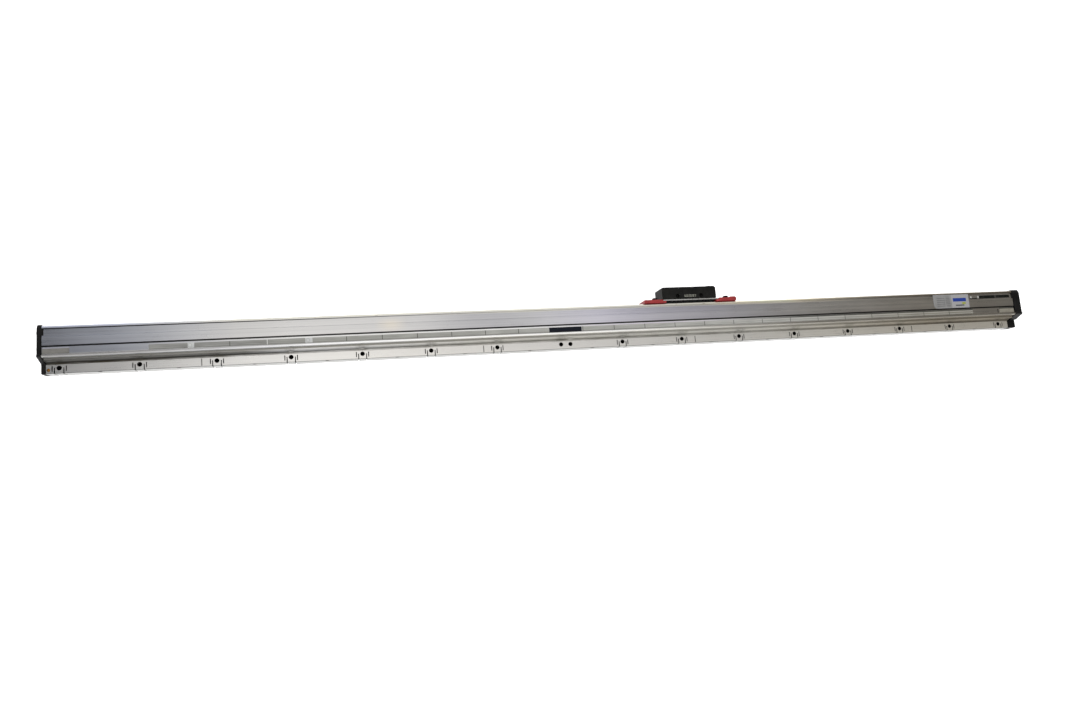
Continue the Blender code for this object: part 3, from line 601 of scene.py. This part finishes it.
RATING_EDGES = ((655.3, 724.7), (29.5, 51.7))
RATING_SPLIT = 690.5
RATING_BARS = ((661.0, 687.5), (32.0, 49.5))
RATING_ROW_START = 31.2
RATING_ROW_PITCH = 3.4
RATING_BLOCKS = (((693.5, 720.0), (40.0, 46.0), (0.012, 0.04, 0.26)),
                 ((711.5, 718.5), (35.0, 38.6), (0.30, 0.33, 0.06)),
                 ((698.0, 715.0), (32.2, 34.4), (0.07, 0.075, 0.085)))


def rating_finish():
    """The rating plate: grey with dark bars on the left, paler with plain blocks on the right."""
    look, silver = paper_base("rating_label", (0.225, 0.225, 0.22), (0.30, 0.30, 0.295), 0.42)
    from_row = look.math("PINGPONG", look.math("SUBTRACT", look.y, RATING_ROW_START), RATING_ROW_PITCH / 2)
    gaps = look.spread(look.noise((0.16, 0.0, 0.0), 1.0, shift=5.0), 0.36, 0.40)
    bars = look.times(look.spread(from_row, 0.8, 1.0), gaps, look.patch(*RATING_BARS), 0.6)
    silver = look.mix(bars, silver, (0.09, 0.09, 0.10))
    right_half = look.spread(look.x, RATING_SPLIT - 0.1, RATING_SPLIT + 0.1)
    colour = look.mix(right_half, silver, (0.35, 0.35, 0.355))
    for x, y, ink_and_slot_shade in RATING_BLOCKS:
        colour = look.mix(look.patch(x, y, 0.15), colour, ink_and_slot_shade)
    look.colour(look.mix(look.patch(*RATING_EDGES), (0.3, 0.3, 0.31), colour))
    return look.material


STRIP = ((728.5, 811.0), (43.1, 49.4))
STRIP_BARS = (((747.4, 780.0), (43.4, 49.0)), ((781.5, 809.6), (43.8, 48.8)),
              ((728.6, 743.0), (43.1, 44.8)))
STRIP_SQUARES = (729.6, 744.2)
STRIP_SQUARE_WIDTH = 2.6
STRIP_SQUARE_Y = (45.0, 48.1)


def strip_finish():
    """Film over the panel: broken black bars, with two small pale squares towards its left end."""
    look, colour = paper_base("printed_strip", (0.105, 0.098, 0.086), (0.15, 0.14, 0.124), 0.42)
    gaps = look.spread(look.noise((0.45, 0.25, 0.0), 1.0, shift=2.0), 0.30, 0.36, 0.7, 1.0)
    for x, y in STRIP_BARS:
        colour = look.mix(look.times(look.patch(x, y, 0.25), gaps), colour, (0.006, 0.007, 0.006))
    for start in STRIP_SQUARES:
        square = look.patch((start, start + STRIP_SQUARE_WIDTH), STRIP_SQUARE_Y, 0.12)
        colour = look.mix(square, colour, (0.5, 0.5, 0.48))
    look.colour(colour)
    return look.material


FINISHES = {
    "housing": housing_finish(),
    "foot": foot_finish(),
    "anodised": plain_anodised(),
    "cap_black": moulded("cap_black", (0.005, 0.005, 0.005), (0.011, 0.0105, 0.0105), 0.45, 1.4, 0.03),
    "head_black": head_finish(),
    "insulator": moulded("insulator", (0.02, 0.02, 0.02), (0.04, 0.04, 0.04), 0.5),
    "bracket_red": moulded("bracket_red", (0.24, 0.016, 0.018), (0.36, 0.03, 0.03), 0.42, 1.2),
    "rubber": moulded("rubber", (0.015, 0.015, 0.015), (0.035, 0.035, 0.035), 0.65, 3.0, 0.03),
    "optical_glass": glass("optical_glass", (0.85, 0.95, 0.93)),
    "glass_scale": glass("scale_glass", (0.8, 0.9, 0.86), lines=0.6),
    "brass": metal("brass", (0.34, 0.16, 0.045), (0.66, 0.36, 0.12), 0.38),
    "black_steel": metal("black_steel", (0.012, 0.012, 0.013), (0.04, 0.04, 0.042), 0.36, (0.6, 0.6, 0.6)),
    "steel": metal("steel", (0.5, 0.5, 0.49), (0.75, 0.75, 0.74), 0.28),
    "tape": tape_finish(),
    "label_black": paper("label_black", (0.006, 0.007, 0.012), (0.010, 0.012, 0.018), 0.45),
    "label_beige": paper("label_beige", (0.145, 0.14, 0.13), (0.205, 0.20, 0.185)),
    "marker_left": marker_finish("marker_left", -539.6),
    "marker_right": marker_finish("marker_right", -382.6),
    "striped_sticker": striped_sticker(),
    "rating": rating_finish(),
    "strip": strip_finish(),
    "circuit": moulded("circuit", (0.01, 0.10, 0.04), (0.02, 0.17, 0.07), 0.45),
}

FINISH_OF = {
    "housing": "housing", "mounting_foot": "foot", "glass_scale": "glass_scale",
    "end_sticker_left": "label_beige", "end_sticker_right": "striped_sticker",
    "marker_sticker_1": "marker_left", "marker_sticker_2": "marker_right", "rating_label": "rating",
}


# ---------------------------------------------------------------- mesh helpers

X, Y, Z = range(3)
MERGE_DISTANCE = 1e-6
FLAT_ANGLE = radians(0.6)
BEVEL_ANGLE = radians(30)
SMOOTH_ANGLE = radians(32)
HEXAGON = "hexagon"


def finish_for(node):
    return FINISHES[FINISH_OF.get(node) or SLOT_OF[node]]


def as_piece(name, mesh, node, finish=None, stands_for=()):
    """Make a mesh a piece that rides with a CAD node's body and takes its slot."""
    item = bpy.data.objects.new(name, mesh)
    bpy.context.collection.objects.link(item)
    mesh.materials.clear()
    mesh.materials.append(FINISHES[finish] if finish else finish_for(node))
    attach(item, BODY_OF[node])
    if stands_for:
        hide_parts(*stands_for)
    return item


def to_mesh(name, bm):
    bmesh.ops.recalc_face_normals(bm, faces=bm.faces)
    mesh = bpy.data.meshes.new(name)
    bm.to_mesh(mesh)
    bm.free()
    mesh.shade_smooth()
    mesh.set_sharp_from_angle(angle=SMOOTH_ANGLE)
    return mesh


def sharp_edges(bm):
    return [edge for edge in bm.edges
            if len(edge.link_faces) == 2 and edge.calc_face_angle(0.0) > BEVEL_ANGLE]


def refine(node, width):
    """Stand a copy of a CAD node in its place, with merged faces and bevelled edges."""
    bm = bmesh.new()
    bm.from_mesh(frame["nodes"][node].data)
    bmesh.ops.remove_doubles(bm, verts=bm.verts, dist=MERGE_DISTANCE)
    bmesh.ops.dissolve_limit(bm, angle_limit=FLAT_ANGLE, verts=bm.verts, edges=bm.edges)
    bmesh.ops.bevel(bm, geom=sharp_edges(bm), offset=width * MM, segments=2,
                    profile=0.5, affect="EDGES", clamp_overlap=True)
    item = as_piece(node + "_skin", to_mesh(node, bm), node, stands_for=(node,))
    normals = item.modifiers.new("Normals", "WEIGHTED_NORMAL")
    normals.keep_sharp = True


def across(axis):
    return [i for i in range(3) if i != axis]


def measure(node, axis):
    """Centre and radius across the axis, and the ends along it, in millimetres."""
    low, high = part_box(node)
    one, two = across(axis)
    centre = ((low[one] + high[one]) / 2 / MM, (low[two] + high[two]) / 2 / MM)
    return centre, (high[one] - low[one]) / 2 / MM, low[axis] / MM, high[axis] / MM


def hexagon_scale(turn):
    """Distance to a unit hexagon's side, for a ring point at the angle turn."""
    return 1.0 / cos((turn + pi / 6) % (pi / 3) - pi / 6)


def turn_into(bm, axis, centre, profile, count, closed=False):
    """Add rings of (radius, distance) or (radius, distance, HEXAGON) in millimetres about the axis."""
    one, two = across(axis)
    rings = []
    for radius, distance, *shape in profile:
        ring = []
        for i in range(count):
            turn = 2 * pi * i / count
            reach = radius * (hexagon_scale(turn) if shape else 1.0)
            point = [0.0, 0.0, 0.0]
            point[axis] = distance * MM
            point[one] = (centre[0] + reach * cos(turn)) * MM
            point[two] = (centre[1] + reach * sin(turn)) * MM
            ring.append(bm.verts.new(point))
        rings.append(ring)
    pairs = list(zip(rings, rings[1:]))
    if closed:
        pairs.append((rings[-1], rings[0]))
    else:
        bm.faces.new(rings[0])
        bm.faces.new(rings[-1])
    for near, far in pairs:
        for i in range(count):
            j = (i + 1) % count
            bm.faces.new((near[i], near[j], far[j], far[i]))


def spin(node, axis, centre, profile, count=36, closed=False):
    """Stand a turned shape in a CAD node's place."""
    bm = bmesh.new()
    turn_into(bm, axis, centre, profile, count, closed)
    as_piece(node + "_fine", to_mesh(node, bm), node, stands_for=(node,))


# ---------------------------------------------------------------- pieces

# Width of the eased edges of each piece that keeps its CAD shape, in millimetres
BEVELS = {
    "housing": 0.18, "mounting_foot": 0.15, "glass_scale": 0.15, "end_cap_left": 0.45, "end_cap_right": 0.45,
    "sealing_lip_front": 0.15, "sealing_lip_rear": 0.15, "gasket_left": 0.05, "gasket_right": 0.05,
    "head_body": 0.3, "head_base_plate": 0.25, "neck_block": 0.3, "blade": 0.2,
    "connector_cover": 0.25, "shipping_bracket_left": 0.6, "shipping_bracket_right": 0.6,
    "carriage_frame": 0.4, "sensor_board": 0.1, "scanning_reticle": 0.1,
}


def socket_screw(node, axis, direction, head_height, shank, socket, pitch=0.8):
    """A screw with a chamfered head, a hexagon socket and thread ridges, in its node's place."""
    centre, radius, low, high = measure(node, axis)
    top = high if direction > 0 else low
    length = high - low
    chamfer = min(0.12 * radius, 0.25 * head_height)
    steps = [(socket, 0.6 * head_height, HEXAGON), (socket, 0.1 * head_height, HEXAGON),
             (1.2 * socket, 0.0), (radius - chamfer, 0.0), (radius, chamfer),
             (radius, head_height - 0.1), (radius - 0.1, head_height), (shank, head_height)]
    depth = head_height + pitch
    while depth < length - pitch:
        steps += [(shank, depth), (0.88 * shank, depth + pitch / 2)]
        depth += pitch
    steps.append((0.75 * shank, length))
    spin(node, axis, centre, [(reach, top - direction * step, *shape) for reach, step, *shape in steps])


# Height of the head, radius of the shank, half width of the socket, and a fine thread's pitch
CAP_SCREW = (3.0, 1.3, 1.25)
AIR_PLUG = (1.6, 2.4, 1.5)
BRACKET_SCREW = (3.2, 2.2, 1.8)
COVER_SCREW = (0.9, 1.0, 0.8, 0.5)
PLATE_SCREW = (1.4, 1.5, 1.2)


def all_screws():
    for side, direction in (("left", -1), ("right", 1)):
        for number in range(1, 5):
            socket_screw(f"cap_screw_{side}_{number}", X, direction, *CAP_SCREW)
        socket_screw("air_plug_" + side, X, direction, *AIR_PLUG)
        socket_screw("bracket_screw_" + side, Y, 1, *BRACKET_SCREW)
    for number in (1, 2):
        socket_screw(f"cover_screw_{number}", Y, 1, *COVER_SCREW)
        socket_screw(f"plate_screw_{number}", Y, -1, *PLATE_SCREW)


ROLLER_BORE = 1.15
SHIELD_INNER = 1.6
SHIELD_OUTER = 2.35
SHIELD_DEPTH = 0.15


def roller(node, axis):
    """A miniature bearing: two races with a sunk shield between them."""
    centre, outer, low, high = measure(node, axis)
    half = [(outer, 0.25), (outer - 0.25, 0.0), (SHIELD_OUTER, 0.0),
            (SHIELD_OUTER - SHIELD_DEPTH, SHIELD_DEPTH), (SHIELD_INNER + SHIELD_DEPTH, SHIELD_DEPTH),
            (SHIELD_INNER, 0.0), (ROLLER_BORE + 0.1, 0.0), (ROLLER_BORE, 0.1)]
    profile = [(radius, high - depth) for radius, depth in half]
    profile += [(radius, low + depth) for radius, depth in reversed(half)]
    spin(node, axis, centre, profile, 48, closed=True)


def axle(node, axis):
    """A ground pin with chamfered ends and a groove for its clip."""
    centre, radius, low, high = measure(node, axis)
    profile = [(radius - 0.2, low), (radius, low + 0.2), (radius, high - 0.9), (radius - 0.15, high - 0.8),
               (radius - 0.15, high - 0.6), (radius, high - 0.5), (radius, high - 0.2), (radius - 0.2, high)]
    spin(node, axis, centre, profile, 32)


def coupling_rod():
    """A rod waisted near both ends, as the real one is so that it bends and doesn't push sideways."""
    centre, radius, low, high = measure("coupling_rod", X)
    waist = 0.6 * radius
    profile = [(radius - 0.1, low), (radius, low + 0.1)]
    for start in (low + 8, high - 14):
        profile += [(radius, start), (waist, start + 0.6), (waist, start + 5), (radius, start + 5.6)]
    profile += [(radius, high - 0.1), (radius - 0.1, high)]
    spin("coupling_rod", X, centre, profile, 24)


def lens():
    """The condenser lens: a short rim under a dome."""
    centre, radius, low, high = measure("condenser_lens", Z)
    rim = 1.0
    dome = [(radius * cos(angle), low + rim + (high - low - rim) * sin(angle))
            for angle in (radians(step) for step in range(0, 88, 8))]
    spin("condenser_lens", Z, centre, [(radius - 0.1, low), (radius, low + 0.1)] + dome, 48)


def lamp_holder():
    """A barrel with a flange round its mouth."""
    centre, radius, low, high = measure("lamp_holder", Z)
    barrel = radius - 1.4
    mouth = 2.0
    profile = [(barrel - 0.2, low), (barrel, low + 0.2), (barrel, high - 2.9), (radius - 0.2, high - 2.9),
               (radius, high - 2.7), (radius, high - 0.3), (radius - 0.3, high), (mouth + 0.3, high),
               (mouth, high - 0.3), (mouth, high - 2.7)]
    spin("lamp_holder", Z, centre, profile, 48)


THREAD_PITCH = 0.5
CONTACT_RINGS = ((2.9, 12), (1.4, 5))


def connector_shell():
    """The socket's shell with its inner thread."""
    centre, radius, start, end = measure("connector_socket", X)
    bore = radius - 0.95
    profile = [(radius - 0.1, start), (radius, start + 0.1), (radius, end - 0.25), (radius - 0.25, end),
               (bore + 0.2, end)]
    depth = end - 0.2
    while depth > start + 4.4:
        profile += [(bore, depth), (bore + 0.22, depth - THREAD_PITCH / 2)]
        depth -= THREAD_PITCH
    profile += [(bore, start + 4), (bore, start + 2)]
    spin("connector_socket", X, centre, profile, 48)


def connector_core():
    """The insulator, with two rings of contacts that stand out of it."""
    centre, radius, low, high = measure("connector_insulator", X)
    profile = [(radius - 0.1, low), (radius, low + 0.1), (radius, high - 0.2), (radius - 0.2, high),
               (radius - 0.7, high), (radius - 0.8, high - 0.3), (radius - 1.0, high - 0.3),
               (radius - 1.1, high)]
    spin("connector_insulator", X, centre, profile, 48)
    contact = [(0.3, high - 0.4), (0.3, high + 2.2), (0.22, high + 2.5), (0.08, high + 2.6)]
    bm = bmesh.new()
    for ring_radius, count in CONTACT_RINGS:
        for i in range(count):
            turn = 2 * pi * i / count
            place = (centre[0] + ring_radius * cos(turn), centre[1] + ring_radius * sin(turn))
            turn_into(bm, X, place, contact, 12)
    mesh = to_mesh("connector_contacts", bm)
    contacts = as_piece("connector_contacts", mesh, "connector_insulator", "brass")


def earth_pin():
    centre, radius, low, high = measure("earth_pin", Z)
    profile = [(radius - 0.3, low), (radius, low + 0.3), (radius, high - 0.7), (radius - 0.15, high - 0.45),
               (radius - 0.5, high - 0.1), (0.7, high), (0.5, high - 0.35)]
    spin("earth_pin", Z, centre, profile, 32)


SLAB_BEVEL = 0.03
WEB_EDGE = 0.05
WEB_DEPTH = 17.3
STRIP_LIFT = (0.02, 0.1)


def slab(name, x, y, z, node, finish):
    """A thin plate with eased edges, riding with a node's body."""
    bm = bmesh.new()
    corners = [(x[i] * MM, y[j] * MM, z[k] * MM) for i in (0, 1) for j in (0, 1) for k in (0, 1)]
    made = [bm.verts.new(corner) for corner in corners]
    for quad in ((0, 1, 3, 2), (4, 6, 7, 5), (0, 4, 5, 1), (2, 3, 7, 6), (0, 2, 6, 4), (1, 5, 7, 3)):
        bm.faces.new([made[i] for i in quad])
    bmesh.ops.bevel(bm, geom=bm.edges[:], offset=SLAB_BEVEL * MM, segments=2, profile=0.5, affect="EDGES")
    as_piece(name, to_mesh(name, bm), node, finish)


def added_pieces():
    """The web that joins foot and housing, and the strip printed beside the rating plate."""
    low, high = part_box("mounting_foot")
    web_x = (low.x / MM + WEB_EDGE, high.x / MM - WEB_EDGE)
    web_y = (FOOT_TOP - 0.1, FOOT_TOP + 0.4)
    slab("foot_web", web_x, web_y, (WEB_EDGE, WEB_DEPTH), "mounting_foot", "housing")
    strip_z = [PANEL_FACE + lift for lift in STRIP_LIFT]
    slab("printed_strip", *STRIP, strip_z, "position_label", "strip")


def make_pieces():
    for node, width in BEVELS.items():
        refine(node, width)
    all_screws()
    for number in (1, 2, 3):
        roller(f"face_roller_{number}", Y)
    for number in (1, 2):
        roller(f"edge_roller_{number}", Z)
        axle(f"edge_axle_{number}", Z)
        axle(f"face_axle_{number}", Y)
    coupling_rod()
    lens()
    lamp_holder()
    connector_shell()
    connector_core()
    earth_pin()
    added_pieces()


# ---------------------------------------------------------------- stage, light, camera

# Place in metres, turn about X, Y and Z in degrees, focal length in millimetres
CAMERA_PLACE = (-0.319, -0.187, 1.202)
CAMERA_TURN = (8.77, -12.46, -4.80)
CAMERA_LENS = 26.67


def make_camera():
    data = bpy.data.cameras.new("camera")
    data.lens = CAMERA_LENS
    data.sensor_width = 36.0
    data.clip_start = 0.05
    data.clip_end = 60.0
    camera = bpy.data.objects.new("camera", data)
    camera.location = CAMERA_PLACE
    camera.rotation_euler = [radians(turn) for turn in CAMERA_TURN]
    bpy.context.collection.objects.link(camera)
    bpy.context.scene.camera = camera


# Floor and light, in metres: the floor's colour and glow are given in the open and under the rail, where
# they make a painted shadow
FLOOR_HALF = 9.0
FLOOR_DROP = 0.0005
FLOOR_COLOUR = (0.9, 0.01)
FLOOR_GLOW = (0.8, 0.0)
SHADE_INSET = 0.002
SHADE_EDGE = 0.0005


def ranged(tree, value, source, target=(0.0, 1.0)):
    """Map a value from one range to another, clamped."""
    node = tree.nodes.new("ShaderNodeMapRange")
    for i, limit in enumerate((*source, *target), 1):
        node.inputs[i].default_value = limit
    tree.links.new(value, node.inputs[0])
    return node.outputs[0]


def under_rail(tree):
    """1 where the rail lies on the floor and the floor is painted dark as its shadow, 0 elsewhere."""
    place = tree.nodes.new("ShaderNodeTexCoord")
    split = tree.nodes.new("ShaderNodeSeparateXYZ")
    tree.links.new(place.outputs["Object"], split.inputs[0])
    low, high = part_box("mounting_foot")
    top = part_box("housing")[1].y
    factors = []
    for axis, start, end in ((X, low.x, high.x), (Y, low.y, top)):
        for edge, direction in ((start + SHADE_INSET, 1.0), (end - SHADE_INSET, -1.0)):
            source = (edge, edge + direction * SHADE_EDGE)
            factors.append(ranged(tree, split.outputs[axis], source))
    covered = factors[0]
    for factor in factors[1:]:
        product = tree.nodes.new("ShaderNodeMath")
        product.operation = "MULTIPLY"
        tree.links.new(covered, product.inputs[0])
        tree.links.new(factor, product.inputs[1])
        covered = product.outputs[0]
    return covered


def make_floor():
    """A pale floor that glows like paper on a light table, with a painted shadow under the rail."""
    bm = bmesh.new()
    bmesh.ops.create_grid(bm, x_segments=1, y_segments=1, size=FLOOR_HALF)
    mesh = bpy.data.meshes.new("floor")
    bm.to_mesh(mesh)
    bm.free()
    floor = bpy.data.objects.new("floor", mesh)
    floor.location = (0.0, 0.0, cad_low.z - FLOOR_DROP)
    bpy.context.collection.objects.link(floor)
    material = bpy.data.materials.new("floor")
    material.use_nodes = True
    tree = material.node_tree
    shader = tree.nodes["Principled BSDF"]
    shader.inputs["Roughness"].default_value = 0.9
    shader.inputs["Specular IOR Level"].default_value = 0.1
    shader.inputs["Emission Color"].default_value = (1.0, 1.0, 1.0, 1.0)
    # painted shadow under the rail: dark colour and no glow
    covered = under_rail(tree)
    for socket, target in (("Base Color", FLOOR_COLOUR), ("Emission Strength", FLOOR_GLOW)):
        tree.links.new(ranged(tree, covered, (0.0, 1.0), target), shader.inputs[socket])
    mesh.materials.append(material)


def area_light(name, place, target, size, power):
    """A soft lamp for the matt parts and the floor, kept out of the metal's reflections."""
    data = bpy.data.lights.new(name, "AREA")
    data.shape = "RECTANGLE"
    data.size, data.size_y = size
    data.energy = power
    light = bpy.data.objects.new(name, data)
    light.location = place
    light.rotation_euler = (Vector(target) - Vector(place)).to_track_quat("-Z", "Y").to_euler()
    light.visible_glossy = False
    bpy.context.collection.objects.link(light)


# Light of the studio against the X part of a direction: for steep looks a place, a level and a
# tint, for level looks a place and a colour
LIGHT_TINTS = {"cool": (0.97, 1.0, 1.06), "plain": (1.0, 1.0, 1.0), "warm": (1.03, 1.0, 0.955),
               "lilac": (1.0, 0.99, 1.03), "brown": (1.05, 1.0, 0.91)}
STEEP_LIGHT = ((-0.40, 0.02, "cool"), (-0.31, 0.05, "cool"), (-0.24, 0.19, "cool"), (-0.19, 0.80, "plain"),
               (-0.165, 1.35, "warm"), (-0.13, 1.62, "warm"), (-0.05, 1.52, "warm"), (0.02, 1.15, "warm"),
               (0.08, 1.10, "warm"), (0.15, 0.72, "lilac"), (0.22, 0.78, "lilac"), (0.29, 1.20, "lilac"),
               (0.34, 0.70, "plain"), (0.42, 0.36, "brown"), (0.50, 0.24, "brown"), (0.60, 0.13, "brown"),
               (0.72, 0.11, "brown"))
LEVEL_LIGHT = ((-0.50, (0.46, 0.465, 0.50)), (0.10, (0.67, 0.67, 0.67)), (0.45, (0.49, 0.485, 0.465)),
               (0.75, (0.31, 0.29, 0.26)))
WORLD_STRENGTH = 1.65
# Y part of a direction, either way, over which steep looks give way to level ones
LEVEL_TILT = (0.3, 0.6)


def ramp(tree, value, stops):
    """Colour stops placed by the value itself, from the first stop's value to the last's."""
    low, high = stops[0][0], stops[-1][0]
    node = tree.nodes.new("ShaderNodeValToRGB")
    tree.links.new(ranged(tree, value, (low, high)), node.inputs[0])
    while len(node.color_ramp.elements) < len(stops):
        node.color_ramp.elements.new(0.5)
    for element, (place, colour) in zip(node.color_ramp.elements, stops):
        element.position = (place - low) / (high - low)
        element.color = (*colour, 1.0)
    return node.outputs[0]


def make_world():
    """A pale studio whose light overhead changes along the rail, with brighter walls."""
    world = bpy.data.worlds.new("studio")
    bpy.context.scene.world = world
    world.use_nodes = True
    tree = world.node_tree
    place = tree.nodes.new("ShaderNodeTexCoord")
    split = tree.nodes.new("ShaderNodeSeparateXYZ")
    tree.links.new(place.outputs["Generated"], split.inputs[0])
    tilt = tree.nodes.new("ShaderNodeMath")
    tilt.operation = "ABSOLUTE"
    tree.links.new(split.outputs[Y], tilt.inputs[0])
    steep = [(where, tuple(bright * part / WORLD_STRENGTH for part in LIGHT_TINTS[tint]))
             for where, bright, tint in STEEP_LIGHT]
    blend = tree.nodes.new("ShaderNodeMix")
    blend.data_type = "RGBA"
    tree.links.new(ranged(tree, tilt.outputs[0], LEVEL_TILT), blend.inputs[0])
    tree.links.new(ramp(tree, split.outputs[X], steep), blend.inputs[6])
    tree.links.new(ramp(tree, split.outputs[X], LEVEL_LIGHT), blend.inputs[7])
    background = tree.nodes["Background"]
    tree.links.new(blend.outputs[2], background.inputs["Color"])
    background.inputs["Strength"].default_value = WORLD_STRENGTH


# Name, place, target, size and power of the soft lamps, in metres and watts
LAMPS = (("overhead", (-0.35, 0.25, 1.9), (-0.1, 0.0, 0.0), (1.3, 1.2), 15.0),
         ("front_fill", (-0.2, -1.6, 1.5), (0.0, 0.0, 0.0), (2.4, 1.0), 9.5))


def dress_frame():
    """Give the CAD nodes that stay in view their finishes."""
    for name, node in frame["nodes"].items():
        if not node.hide_render:
            node.data.materials.clear()
            node.data.materials.append(finish_for(name))


make_pieces()
dress_frame()
make_camera()
make_floor()
make_world()
for lamp in LAMPS:
    area_light(*lamp)
bpy.context.scene.view_settings.view_transform = "Standard"
